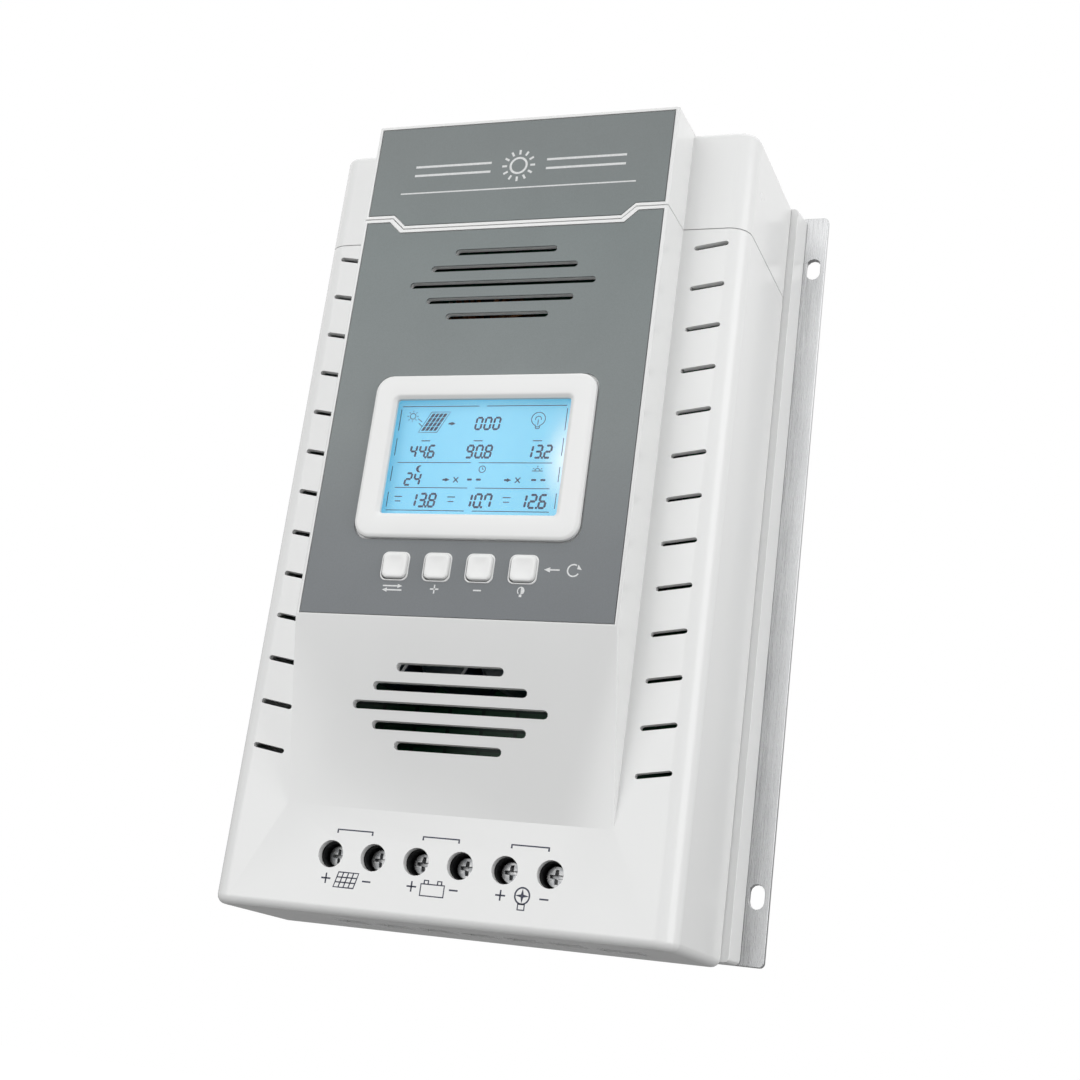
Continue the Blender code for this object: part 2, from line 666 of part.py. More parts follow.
def front_covers(white, overlay_grey):
    outer, inner = case_shell()
    header, face = label_outlines(0)
    pockets = merge("pocket_cutter", [plate("pocket", outline, POCKET_D, SLAB_D + WALL)
                                      for outline in (header, face)])
    top_cap = outer.copy()
    top_cap.data = outer.data.copy()
    top_cap.name = "top_cap"
    CUTTERS.objects.link(top_cap)
    combine(top_cap, "DIFFERENCE", inner, pockets, cover_region("cover_cut", GAP / 2))
    combine(top_cap, "UNION", *posts(TOP - POST_Z))
    finish(top_cap, white)

    upper = grille_cutter("upper_grille", SPLIT_Z - UPPER_GRILLE_BELOW_CAP, UPPER_SLOT,
                          SLAB_INNER_D - WALL, SLAB_D + WALL, GRILLE_PITCH)
    lower = grille_cutter("lower_grille", FOOT + LOWER_GRILLE, LOWER_SLOT,
                          INNER_D - WALL, SLAB_D + WALL, GRILLE_PITCH)
    face_holes = face_cutter()
    access = merge("access_cutter", [rod("access", x, FOOT + POLE_Z, ACCESS_RADIUS, INNER_D - WALL,
                                         SHOULDER_D + WALL, 24) for x in centred(POLES, POLE_PITCH)])
    cover = outer
    cover.name = "front_cover"
    combine(cover, "DIFFERENCE", inner, pockets, cap_region("cap_cut", -GAP / 2), upper, lower,
            vent_cutter(), face_holes, access, foot_cutter())
    combine(cover, "UNION", *posts(FOOT + POST_Z), *display_bosses())
    finish(cover, white)

    header, face = label_outlines(GAP)
    finish(plate("header_label", header, LABEL_D, LABEL_FACE_D), overlay_grey)
    overlay = plate("face_label", face, LABEL_D, LABEL_FACE_D)
    bezel_hole = plate("bezel_hole", rounded_outline(0, BEZEL_Z, BEZEL_WIDTH + 2 * GAP,
                       BEZEL_HEIGHT + 2 * GAP, BEZEL_ROUND + GAP), POCKET_D, SLAB_D + WALL)
    combine(overlay, "DIFFERENCE", bezel_hole, upper, face_holes)
    finish(overlay, overlay_grey)


def rear_case(white):
    """A shallow tray behind the cover, slightly wider than it, open for the heat sink."""
    low, high = FOOT + RIM_FOOT, TOP - RIM_HEAD
    tray = box("rear_case", (-RIM_WIDTH / 2, RIM_WIDTH / 2), (SINK_D, RIM_D), (low, high))
    for vert in tray.data.vertices:
        if vert.co.y > -RIM_D / 2:
            vert.co.x += math.copysign(RIM_DRAFT, vert.co.x)
    round_edges(tray, RIM_ROUND, 3, lambda middle, along: abs(along.y) > 0.9)
    hollow = box("tray_hollow", (-RIM_WALL_INNER / 2, RIM_WALL_INNER / 2),
                 (SINK_D + FLOOR_THICK, RIM_D + WALL), (low + WALL, high - WALL))
    half = SINK_WIDTH / 2 + SINK_CLEAR
    window = box("tray_window", (-half, half), (0, RIM_D),
                 (FOOT + sink_ends()[0] - SINK_CLEAR, FOOT + sink_ends()[1] + SINK_CLEAR))
    holes = merge("tray_holes", [rod("tray_hole", x, z, POST_BORE, 0, RIM_D, 12)
                                 for x, z in post_places()])
    combine(tray, "DIFFERENCE", hollow, window, holes)
    finish(tray, white)


def post_places():
    return [(side * POST_X, z) for side in (-1, 1) for z in (FOOT + POST_Z, TOP - POST_Z)]


def sink_ends():
    """The heat sink's ends, above the bottom end."""
    return BLOCK_HEIGHT + WALL + SINK_MARGIN, HEIGHT - WALL - SINK_MARGIN


def slot_places():
    x = PLATE_WIDTH / 2 - SLOT_EDGE
    return [(side * x, z) for side in (-1, 1) for z in (FOOT + SLOT_FOOT, TOP - SLOT_HEAD)]


def back_plate(aluminium):
    low, high = FOOT + RIM_FOOT, TOP - PLATE_HEAD
    outline = rounded_outline(0, (low + high) / 2, PLATE_WIDTH, high - low, PLATE_ROUND, 4)
    sheet = plate("back_plate", outline, 0, PLATE_THICK)
    slots = [plate("wall_slot", slot_outline(x, z, SLOT_LENGTH, SLOT_WIDTH, math.pi / 2, 6),
                   -PLATE_THICK, 2 * PLATE_THICK) for x, z in slot_places()]
    cones = []
    for x, z in post_places():
        cone = bmesh.new()
        place = (Matrix.Translation((x, -PLATE_THICK / 2, z)) @ Matrix.Rotation(math.pi / 2, 4, "X"))
        bmesh.ops.create_cone(cone, cap_ends=True, segments=20,
                              radius1=COVER_SCREW_HEAD + 2 * GAP,
                              radius2=COVER_SCREW_RADIUS + 1.2 * GAP,
                              depth=PLATE_THICK + 2 * CUT_PAST, matrix=place)
        cones.append(as_object("countersink", cone))
    combine(sheet, "DIFFERENCE", merge("wall_slots", slots), merge("countersinks", cones))
    finish(sheet, aluminium)


def cover_screws(steel):
    for index, (x, z) in enumerate(post_places(), 1):
        head, shank = COVER_SCREW_HEAD, COVER_SCREW_RADIUS
        end = COVER_SCREW_LENGTH
        profile = [(0, end), (shank / 2, end), (shank, end - COVER_SCREW_POINT),
                   (shank, PLATE_THICK - GAP / 3), (head, GAP), (0, GAP)]
        turned(f"cover_screw_{index}", profile, x, z, steel, 16)


# ---------------------------------------------------------------- display and buttons

def display(finishes):
    """The bezel, its window, the panel behind it, its light and the board that carries them."""
    flange = rounded_outline(0, BEZEL_Z, BEZEL_WIDTH, BEZEL_HEIGHT, BEZEL_ROUND)
    front_d = LABEL_FACE_D + BEZEL_PROUD
    frame = plate("lcd_bezel", flange, NECK_D, front_d)
    round_edges(frame, BEZEL_EDGE, 2, lambda middle, along: middle.y < -front_d + WELD)
    neck = rounded_outline(0, BEZEL_Z, BEZEL_WIDTH - 2 * BEZEL_RIM, BEZEL_HEIGHT - 2 * BEZEL_RIM,
                           BEZEL_ROUND - BEZEL_RIM)
    combine(frame, "UNION", plate("bezel_neck", neck, PANEL_FRONT_D + GAP, NECK_D + MM / 2))
    sight = plate("sight", rounded_outline(0, BEZEL_Z, WINDOW_WIDTH, WINDOW_HEIGHT, WINDOW_ROUND),
                  0, SLAB_D + WALL)
    seat_d = LABEL_FACE_D - GAP
    seat = behind_window("window_seat", WINDOW_SEAT, 0, seat_d)
    combine(frame, "DIFFERENCE", sight, seat)
    finish(frame, finishes["white"])
    finish(behind_window("lcd_window", WINDOW_SEAT - GAP, seat_d - GAP - WINDOW_THICK, seat_d - GAP),
           finishes["clear"])
    panels_and_board(finishes)


def behind_window(name, margin, low_d, high_d):
    """A block as large as the window's opening and a margin all round."""
    half_x, half_z = WINDOW_WIDTH / 2 + margin, WINDOW_HEIGHT / 2 + margin
    return box(name, (-half_x, half_x), (low_d, high_d), (BEZEL_Z - half_z, BEZEL_Z + half_z))


def panels_and_board(finishes):
    finish(behind_window("lcd_panel", PANEL_MARGIN, PANEL_D, PANEL_FRONT_D), finishes["lcd"])
    finish(behind_window("lcd_backlight", PANEL_MARGIN, LIGHT_D, LIGHT_D + LIGHT_THICK),
           finishes["light"])
    low, high = display_board_ends()
    outline = rounded_outline(0, (low + high) / 2, DISPLAY_BOARD_WIDTH, high - low,
                              DISPLAY_BOARD_ROUND, 3)
    board_face = DISPLAY_BOARD_D + DISPLAY_BOARD_THICK
    board = plate("display_board", outline, DISPLAY_BOARD_D, board_face)
    holes = [rod("board_hole", x, z, DISPLAY_HOLE, 0, SLAB_D, 12)
             for x, z in display_screw_places()]
    combine(board, "DIFFERENCE", merge("display_holes", holes))
    finish(board, finishes["board"])
    for index, (x, z) in enumerate(display_screw_places(), 1):
        seat, top = DISPLAY_BOARD_D - GAP, DISPLAY_BOARD_D - GAP - DISPLAY_HEAD_THICK
        shank, head = DISPLAY_SCREW_RADIUS, DISPLAY_SCREW_HEAD
        profile = [(0, board_face), (shank, board_face), (shank, seat), (head, seat),
                   (head, seat - DISPLAY_HEAD_THICK * 0.7), (head * 0.64, top), (0, top)]
        turned(f"display_screw_{index}", profile, x, z, finishes["steel"], 14)


def buttons(white, dark):
    """Square caps with an inner lip that holds them in, each over its own switch."""
    for index, x in enumerate(centred(BUTTONS, BUTTON_PITCH), 1):
        front_d = LABEL_FACE_D + BUTTON_PROUD
        outline = rounded_outline(0, 0, BUTTON_SIZE, BUTTON_SIZE, BUTTON_ROUND, 4)
        cap = plate(f"button_{index}", outline, LIP_D + BUTTON_LIP_THICK / 2, front_d)
        round_edges(cap, BUTTON_EDGE, 2, lambda middle, along: middle.y < -front_d + WELD)
        size = BUTTON_SIZE + 2 * BUTTON_LIP
        lip = plate("button_lip", rounded_outline(0, 0, size, size, BUTTON_ROUND, 3),
                    LIP_D, LIP_D + BUTTON_LIP_THICK)
        combine(cap, "UNION", lip)
        cap.location = (x, 0, BUTTON_Z)
        finish(cap, white)

        half = SWITCH_SIZE / 2
        body = box(f"switch_{index}", (x - half, x + half), (ON_DISPLAY_D, ON_DISPLAY_D + SWITCH_BODY),
                   (BUTTON_Z - half, BUTTON_Z + half))
        plunger = rod("plunger", x, BUTTON_Z, PLUNGER_RADIUS, ON_DISPLAY_D + SWITCH_BODY / 2,
                      SWITCH_TOP_D, 16)
        combine(body, "UNION", plunger)
        finish(body, dark)


# ---------------------------------------------------------------- terminals

def terminal_block(green):
    """The pole block: a screw well and a wire chamber for each pole, with a fixed contact tongue."""
    half = POLES * POLE_PITCH / 2 + BLOCK_END
    block = box("terminal_block", (-half, half), (ON_BOARD_D, BLOCK_FRONT_D),
                (BLOCK_FOOT, BLOCK_FOOT + BLOCK_HEIGHT))
    cuts, tongues = [], []
    for x in centred(POLES, POLE_PITCH):
        cuts.append(box("chamber", (x - CHAMBER_WIDTH / 2, x + CHAMBER_WIDTH / 2),
                        (CHAMBER_BACK_D, CHAMBER_FRONT_D),
                        (BLOCK_FOOT - WALL, BLOCK_FOOT + CHAMBER_HEIGHT)))
        well = rod("well", x, FOOT + POLE_Z, ACCESS_RADIUS - CUT_PAST, SEAT_D, SHOULDER_D)
        neck = rod("well_neck", x, FOOT + POLE_Z, SCREW_RADIUS + NECK, CHAMBER_FRONT_D - WALL,
                   SEAT_D + WALL)
        cuts.append(combine(well, "UNION", neck))
        tongues.append(box("contact_tongue", (x - TONGUE_WIDTH / 2, x + TONGUE_WIDTH / 2),
                           (TONGUE_FRONT_D - TONGUE_THICK, TONGUE_FRONT_D),
                           (CLAMP_FOOT + MM, BLOCK_FOOT + CHAMBER_HEIGHT + WALL)))
    for cut in cuts:
        combine(block, "DIFFERENCE", cut)
    combine(block, "UNION", merge("contact_tongues", tongues))
    finish(block, green)


def terminal_screw(name, x, steel):
    """A cross-slotted terminal screw, its origin on its own axis."""
    head, shank = SCREW_HEAD_RADIUS, SCREW_RADIUS
    screw = rod(name, 0, 0, head, HEAD_BOTTOM_D, HEAD_TOP_D, 24)
    round_edges(screw, SCREW_EDGE, 2, lambda middle, along: middle.y < -HEAD_TOP_D + WELD)
    stem = rod("screw_stem", 0, 0, shank, SCREW_TIP_D, HEAD_BOTTOM_D + MM, 20)
    cross = []
    for wide, high in ((CROSS_LENGTH, CROSS_WIDTH), (CROSS_WIDTH, CROSS_LENGTH)):
        cross.append(box("cross_cut", (-wide / 2, wide / 2),
                         (HEAD_TOP_D - CROSS_DEPTH, SHOULDER_D), (-high / 2, high / 2)))
    combine(screw, "UNION", stem)
    combine(screw, "DIFFERENCE", *cross)
    screw.location = (x, 0, FOOT + POLE_Z)
    finish(screw, steel)


def clamp(name, x, steel):
    """A rising cage: open towards the wire entry, with the screw through its front wall."""
    half = CLAMP_WIDTH / 2
    inner = half - CLAMP_WALL
    front_d, head = CLAMP_D + CLAMP_DEPTH, CLAMP_FOOT + CLAMP_LENGTH
    cage = box(name, (-half, half), (CLAMP_D, front_d), (CLAMP_FOOT, head))
    hollow = box("cage_hollow", (-inner, inner), (CLAMP_D + CLAMP_WALL, front_d - CLAMP_WALL),
                 (CLAMP_FOOT - WALL, head + WALL))
    bore = rod("cage_bore", 0, FOOT + POLE_Z, SCREW_RADIUS + NECK, CLAMP_D + CLAMP_DEPTH / 2,
               SHOULDER_D)
    combine(cage, "DIFFERENCE", hollow, bore)
    cage.location.x = x
    finish(cage, steel)


def terminals(finishes):
    terminal_block(finishes["green"])
    for index, x in enumerate(centred(POLES, POLE_PITCH), 1):
        terminal_screw(f"terminal_screw_{index}", x, finishes["steel"])
        clamp(f"clamp_{index}", x, finishes["steel"])


# ---------------------------------------------------------------- power electronics

def board_ends():
    return FOOT + WALL + BOARD_MARGIN / 2, TOP - WALL - BOARD_MARGIN


def standoff_places():
    low, high = (FOOT + end for end in sink_ends())
    return [(side * STANDOFF_X, z) for side in (-1, 1)
            for z in (low + STANDOFF_EDGE, high - STANDOFF_EDGE)]


def heat_sink(aluminium):
    low, high = (FOOT + end for end in sink_ends())
    base = box("heat_sink", (-SINK_WIDTH / 2, SINK_WIDTH / 2), (SINK_D, SINK_BASE_D), (low, high))
    fins = [box("fin", (x - FIN_THICK / 2, x + FIN_THICK / 2),
                (SINK_BASE_D - MM, SINK_D + SINK_HEIGHT), (low + FIN_EDGE, high - FIN_EDGE))
            for x in centred(FINS, FIN_SPAN / (FINS - 1))]
    combine(base, "UNION", merge("fins", fins))
    finish(base, aluminium)


def main_board(green):
    low, high = board_ends()
    outline = rounded_outline(0, (low + high) / 2, BOARD_WIDTH, high - low, BOARD_ROUND, 3)
    finish(plate("main_board", outline, BOARD_D, BOARD_FACE_D), green)


def standoffs(brass):
    for index, (x, z) in enumerate(standoff_places(), 1):
        finish(rod(f"board_standoff_{index}", x, z, STANDOFF_RADIUS, SINK_BASE_D + GAP,
                   BOARD_D - GAP, 6), brass)


def inductors(copper):
    for index, side in enumerate((-1, 1), 1):
        bpy.ops.mesh.primitive_torus_add(major_radius=CORE_RADIUS, minor_radius=CORE_THICK,
                                         major_segments=28, minor_segments=12)
        core = bpy.context.object
        core.name = f"inductor_{index}"
        for group in core.users_collection:
            group.objects.unlink(core)
        CUTTERS.objects.link(core)
        core.rotation_euler.x = math.pi / 2
        core.location = (side * (CORE_RADIUS + CORE_THICK + CORE_SPACE / 2),
                         -(ON_BOARD_D + CORE_THICK), inductor_z())
        finish(core, copper)


def inductor_z():
    return TOP - CAP_LENGTH - UPPER_GRILLE_BELOW_CAP


def capacitors(sleeve):
    pitch = 2 * CAPACITOR_RADIUS + CAPACITOR_SPACE
    for index, x in enumerate(centred(CAPACITORS, pitch), 1):
        r, low, high = CAPACITOR_RADIUS, ON_BOARD_D, ON_BOARD_D + CAPACITOR_LENGTH
        profile = [(0, high - CAN_DISH), (r - 1.5 * CAN_EDGE, high - CAN_DISH), (r - CAN_EDGE, high),
                   (r, high - CAN_EDGE), (r, low + GROOVE_HIGH),
                   (r - GROOVE_DEEP, low + (GROOVE_LOW + GROOVE_HIGH) / 2), (r, low + GROOVE_LOW),
                   (r, low), (0, low)]
        turned(f"capacitor_{index}", profile, x, BEND_Z - CAPACITOR_DROP, sleeve, 20)


def fuses(orange):
    for index, side in enumerate((-1, 1), 1):
        x, z = side * FUSE_X, BLOCK_FOOT + BLOCK_HEIGHT + FUSE_ABOVE_BLOCK
        width, depth, height = FUSE_BODY
        foot_d = ON_BOARD_D + BLADE_LENGTH
        body = box(f"fuse_{index}", (x - width / 2, x + width / 2), (foot_d, foot_d + depth),
                   (z - height / 2, z + height / 2))
        round_edges(body, FUSE_ROUND, 2, lambda middle, along: middle.y < WELD - foot_d - depth)
        blades = [box("blade", (x + step - BLADE_WIDTH / 2, x + step + BLADE_WIDTH / 2),
                      (ON_BOARD_D, foot_d + MM), (z - BLADE_THICK / 2, z + BLADE_THICK / 2))
                  for step in centred(2, BLADE_PITCH)]
        combine(body, "UNION", merge("blades", blades))
        finish(body, orange)


def transistor_banks(dark):
    """Four power transistors on each side, joined by the bar that clamps them."""
    low = BEND_Z + BANK_ABOVE_BEND
    thick, back, front = BANK_BAR
    width, depth, height = PACKAGE
    for side, word in ((-1, "left"), (1, "right")):
        x = side * BANK_X
        bar = box(f"transistor_bank_{word}", (x - thick / 2, x + thick / 2),
                  (ON_BOARD_D + back, ON_BOARD_D + front), (low, low + BANK_LENGTH))
        x += side * PACKAGE_SHIFT
        levels = [low + BANK_LENGTH / 2 + step for step in centred(PACKAGES, BANK_LENGTH / PACKAGES)]
        packages = [box("package", (x - width / 2, x + width / 2), (ON_BOARD_D, ON_BOARD_D + depth),
                        (z - height / 2, z + height / 2)) for z in levels]
        combine(bar, "UNION", merge("packages", packages))
        finish(bar, dark)


def data_socket(black):
    x0, x1 = SOCKET_X - SOCKET_WIDTH / 2, SOCKET_X + SOCKET_WIDTH / 2
    low = BLOCK_FOOT
    body = box("data_socket", (x0, x1), (ON_BOARD_D, ON_BOARD_D + SOCKET_DEPTH),
               (low, low + SOCKET_LENGTH))
    mouth = box("socket_cavity", (x0 + SOCKET_WALL, x1 - SOCKET_WALL),
                (ON_BOARD_D + SOCKET_WALL, ON_BOARD_D + SOCKET_DEPTH - SOCKET_WALL),
                (low - WALL, low + SOCKET_LENGTH - SOCKET_WALL))
    combine(body, "DIFFERENCE", mouth)
    finish(body, black)


def ribbon_cable(grey):
    """A flat cable from the main board up to the display board, in one soft S."""
    start = Vector((ON_BOARD_D, BEZEL_Z - RIBBON_START))
    end = Vector((DISPLAY_BOARD_D - GAP, BEZEL_Z - RIBBON_END))
    steps = RIBBON_STEPS
    middle = []
    for step in range(steps + 1):
        t = step / steps
        ease = t * t * (3 - 2 * t)
        middle.append(Vector((start.x + (end.x - start.x) * t, start.y + (end.y - start.y) * ease)))
    left, right = [], []
    for index, point in enumerate(middle):
        along = (middle[min(index + 1, steps)] - middle[max(index - 1, 0)]).normalized()
        if index in (0, steps):
            along = Vector((1, 0))
        across = Vector((-along.y, along.x)) * RIBBON_HALF_THICK
        left.append(point + across)
        right.append(point - across)
    outline = [tuple(point) for point in left + right[::-1]]
    finish(side_profile("ribbon_cable", outline, -RIBBON_WIDTH / 2, RIBBON_WIDTH / 2), grey)


def build():
    clear_scene()
    white = material("gloss_white_abs", (0.86, 0.87, 0.87), 0.22)
    grey = material("grey_overlay", (0.28, 0.30, 0.31), 0.45)
    aluminium = material("aluminium_sheet", (0.66, 0.67, 0.68), 0.38, 1.0)
    steel = material("zinc_plated_steel", (0.62, 0.62, 0.60), 0.35, 1.0)
    dark = material("black_moulding", (0.03, 0.03, 0.03), 0.5)
    board = material("circuit_board", (0.02, 0.16, 0.07), 0.4)
    finishes = {
        "white": white, "steel": steel, "board": board,
        "clear": material("clear_window", (0.75, 0.9, 0.95), 0.05, alpha=0.3),
        "lcd": material("lcd_glass", (0.2, 0.55, 0.8), 0.2),
        "light": material("light_guide", (0.9, 0.95, 1.0), 0.4),
        "green": material("terminal_moulding", (0.03, 0.03, 0.035), 0.5),
    }
    front_covers(white, grey)
    rear_case(white)
    back_plate(aluminium)
    cover_screws(steel)
    display(finishes)
    buttons(white, dark)
    terminals(finishes)
    heat_sink(aluminium)
    main_board(board)
    standoffs(material("brass", (0.7, 0.52, 0.22), 0.35, 1.0))
    inductors(material("copper_winding", (0.55, 0.25, 0.1), 0.35))
    capacitors(material("capacitor_sleeve", (0.03, 0.04, 0.08), 0.3))
    fuses(material("fuse_body", (0.8, 0.35, 0.05), 0.3))
    transistor_banks(dark)
    data_socket(dark)
    ribbon_cable(material("ribbon_grey", (0.5, 0.5, 0.52), 0.5))


build()
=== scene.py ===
"""Looks of a wall-mounted solar charge controller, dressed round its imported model.

X runs across the front, +Z up and the front faces -Y, in metres. Symbols are drawn flat first, as
(u, v) in millimetres from the middle of their face, and then laid on it.
"""

import math

import bmesh
import bpy
from mathutils import Matrix, Vector
from mathutils.bvhtree import BVHTree


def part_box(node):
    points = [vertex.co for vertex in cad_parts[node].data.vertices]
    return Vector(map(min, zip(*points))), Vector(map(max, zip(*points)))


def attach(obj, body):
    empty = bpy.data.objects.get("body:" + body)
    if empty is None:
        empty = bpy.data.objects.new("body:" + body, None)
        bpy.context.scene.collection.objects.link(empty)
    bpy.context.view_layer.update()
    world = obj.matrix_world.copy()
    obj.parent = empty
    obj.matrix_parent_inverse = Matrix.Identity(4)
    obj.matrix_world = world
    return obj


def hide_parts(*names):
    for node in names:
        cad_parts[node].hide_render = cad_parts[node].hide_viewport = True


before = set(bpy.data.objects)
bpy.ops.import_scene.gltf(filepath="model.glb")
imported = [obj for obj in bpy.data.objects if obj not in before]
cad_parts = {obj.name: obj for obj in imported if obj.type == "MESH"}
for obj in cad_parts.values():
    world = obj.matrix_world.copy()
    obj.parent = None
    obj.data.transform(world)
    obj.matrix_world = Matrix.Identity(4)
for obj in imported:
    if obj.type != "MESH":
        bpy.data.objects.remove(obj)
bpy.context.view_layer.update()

MM = 0.001
HOUSING = "housing"
POLES = 6
BUTTONS = 4
SLAB_RISE = 15.5 * MM           # raised middle of the case above its shoulders

# Softened edges
CASE_EDGE = 0.35 * MM
SHEET_EDGE = 0.2 * MM
METAL_EDGE = 0.15 * MM
SHARP = math.radians(28)        # edges that turn more than this are corners
FLAT = math.radians(0.6)        # faces that turn less than this are one face
WELD = 0.01 * MM
FOLD = math.radians(8)          # broad faces that turn more than this meet in a crease
BROAD = 400 * MM * MM

KEY_LIP = 2.2 * MM              # how much wider a key is behind the cover
WINDOW_LAP = 2.4 * MM           # how much wider the window is than its frame's opening

# Printing
INK_THICK = 0.05 * MM
INK_SINK = 0.02 * MM            # how far a print's back lies under its face
FINE_LINE = 0.24 * MM
LABEL_LINE = 0.42 * MM
CASE_LINE = 0.46 * MM

# Camera
EYE = Vector((0.186253, -0.488356, -0.152174))
AIM = Vector((-0.349252, 0.891036, 0.289963))
CAMERA_UP = Vector((-0.019535, -0.316306, 0.948456))
LENS = 55.99
SENSOR = 36
FLOOR_Z = -0.55
FLOOR_HALF = 9.0


# ---- mesh helpers

def middle(node):
    low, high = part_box(node)
    return (low + high) / 2


def link(name, mesh):
    made = bpy.data.objects.new(name, mesh)
    bpy.context.scene.collection.objects.link(made)
    return made


def mesh_of(name, shape):
    """A mesh from a bmesh, which is used up."""
    mesh = bpy.data.meshes.new(name)
    shape.to_mesh(mesh)
    shape.free()
    return mesh


def shaded(name, shape):
    """An object from a bmesh, smooth but for its sharp edges."""
    mesh = mesh_of(name, shape)
    mesh.shade_smooth()
    mesh.set_sharp_from_angle(angle=SHARP)
    return link(name, mesh)


def to_piece(name, shape, finish, stands_for=(), body=HOUSING):
    """A piece from a bmesh, in its finish, riding on its body, in place of the nodes it stands for.
    """
    bmesh.ops.recalc_face_normals(shape, faces=shape.faces)
    return dress(shaded(name, shape), finish, stands_for, body)


def dress(made, finish, stands_for=(), body=HOUSING):
    made.data.materials.clear()
    made.data.materials.append(finish)
    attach(made, body)
    if stands_for:
        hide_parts(*stands_for)
    return made


def outside_corners(shape):
    """The sharp edges that can be seen from outside, not those round the inner hollow."""
    tree = BVHTree.FromBMesh(shape)
    found = []
    for edge in shape.edges:
        if len(edge.link_faces) != 2 or abs(edge.calc_face_angle()) < SHARP:
            continue
        out = (edge.link_faces[0].normal + edge.link_faces[1].normal).normalized()
        start = (edge.verts[0].co + edge.verts[1].co) / 2 + out * 0.05 * MM
        if tree.ray_cast(start, out)[0] is None:
            found.append(edge)
    return found


def breaks(edge):
    """Whether the shading stops at an edge: a corner, or a crease between two broad faces."""
    if len(edge.link_faces) != 2:
        return True
    turn = abs(edge.calc_face_angle())
    area = min(face.calc_area() for face in edge.link_faces)
    return turn > SHARP or (turn > FOLD and area > BROAD)


def softened(node, name, finish, width, body=HOUSING, segments=3):
    """A CAD piece with its outside corners rounded over, which stands for that node."""
    shape = bmesh.new()
    shape.from_mesh(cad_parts[node].data)
    bmesh.ops.remove_doubles(shape, verts=shape.verts, dist=WELD)
    bmesh.ops.dissolve_limit(shape, angle_limit=FLAT, verts=shape.verts, edges=shape.edges)
    shape.normal_update()
    layer = shape.edges.layers.float.new("bevel_weight_edge")
    for edge in outside_corners(shape):
        edge[layer] = 1.0
    for edge in shape.edges:
        edge.smooth = not breaks(edge)
    for face in shape.faces:
        face.smooth = True
    made = link(name, mesh_of(name, shape))
    edge_round = made.modifiers.new("rounded corners", "BEVEL")
    edge_round.limit_method = "WEIGHT"
    edge_round.width = width
    edge_round.segments = segments
    edge_round.harden_normals = True
    made.modifiers.new("even shading", "WEIGHTED_NORMAL").keep_sharp = True
    return dress(made, finish, (node,), body)


def rounded_square(width, height, radius, steps=6):
    """Points round a rectangle with round corners, anticlockwise from the right-hand side."""
    points = []
    for quarter, (side, level) in enumerate(((1, 1), (-1, 1), (-1, -1), (1, -1))):
        for step in range(steps + 1):
            angle = math.pi / 2 * (quarter + step / steps)
            points.append((side * (width / 2 - radius) + radius * math.cos(angle),
                           level * (height / 2 - radius) + radius * math.sin(angle)))
    return points


def add_band(shape, near, far):
    """Faces all round between two loops of corners."""
    for index in range(len(near)):
        after = (index + 1) % len(near)
        shape.faces.new((near[index], near[after], far[after], far[index]))


def stacked(centre, rings, closed=False, dimple=None):
    """A shape from rounded rectangles (width, height, radius, y), one behind the other."""
    shape = bmesh.new()
    loops = [[shape.verts.new((centre.x + u, y, centre.z + v))
              for u, v in rounded_square(width, height, radius)]
             for width, height, radius, y in rings]
    pairs = list(zip(loops, loops[1:]))
    if closed:
        pairs.append((loops[-1], loops[0]))
    for near, far in pairs:
        add_band(shape, near, far)
    if not closed:
        for loop, lift in ((loops[0], dimple or 0), (loops[-1], 0)):
            tip = sum((vert.co for vert in loop), Vector()) / len(loop) + Vector((0, lift, 0))
            hub = shape.verts.new(tip)
            for index in range(len(loop)):
                shape.faces.new((loop[index], loop[(index + 1) % len(loop)], hub))
    return shape


def lay_on(shape, origin, across=Vector((1, 0, 0)), up=Vector((0, 0, 1)), scale=MM):
    """Moves a flat drawing (x right, y up, z out) on to a face."""
    out = across.cross(up)
    place = Matrix((across, up, out)).transposed().to_4x4()
    place.translation = origin
    shape.transform(place @ Matrix.Scale(scale, 4))


# ---- node trees

def feed(tree, node, inputs):
    """Sets a node's inputs, with a link where the value is another node's socket."""
    for label, value in inputs.items():
        if isinstance(value, bpy.types.NodeSocket):
            tree.links.new(value, node.inputs[label])
        else:
            node.inputs[label].default_value = value


def add_node(tree, kind, inputs=None, **settings):
    made = tree.nodes.new(kind)
    for name, value in settings.items():
        setattr(made, name, value)
    feed(tree, made, inputs or {})
    return made


def geometry_tree(name, given):
    """An empty geometry tree, and the sockets of what it's given: a geometry and (name, kind)s."""
    tree = bpy.data.node_groups.new(name, "GeometryNodeTree")
    tree.interface.new_socket("Geometry", in_out="OUTPUT", socket_type="NodeSocketGeometry")
    for label, kind in (("Geometry", "Geometry"),) + given:
        tree.interface.new_socket(label, in_out="INPUT", socket_type="NodeSocket" + kind)
    return tree, tree.nodes.new("NodeGroupInput").outputs


def close_tree(tree, geometry, finish):
    """Every tree ends by making its copies real and giving them their finish."""
    real = add_node(tree, "GeometryNodeRealizeInstances", {"Geometry": geometry})
    coat = add_node(tree, "GeometryNodeSetMaterial",
                    {"Geometry": real.outputs["Geometry"], "Material": finish})
    add_node(tree, "NodeGroupOutput", {"Geometry": coat.outputs["Geometry"]})
    return tree


def evaluated(made):
    """The mesh of an object with its modifiers applied."""
    bpy.context.view_layer.update()
    graph = bpy.context.evaluated_depsgraph_get()
    return bpy.data.meshes.new_from_object(made.evaluated_get(graph))


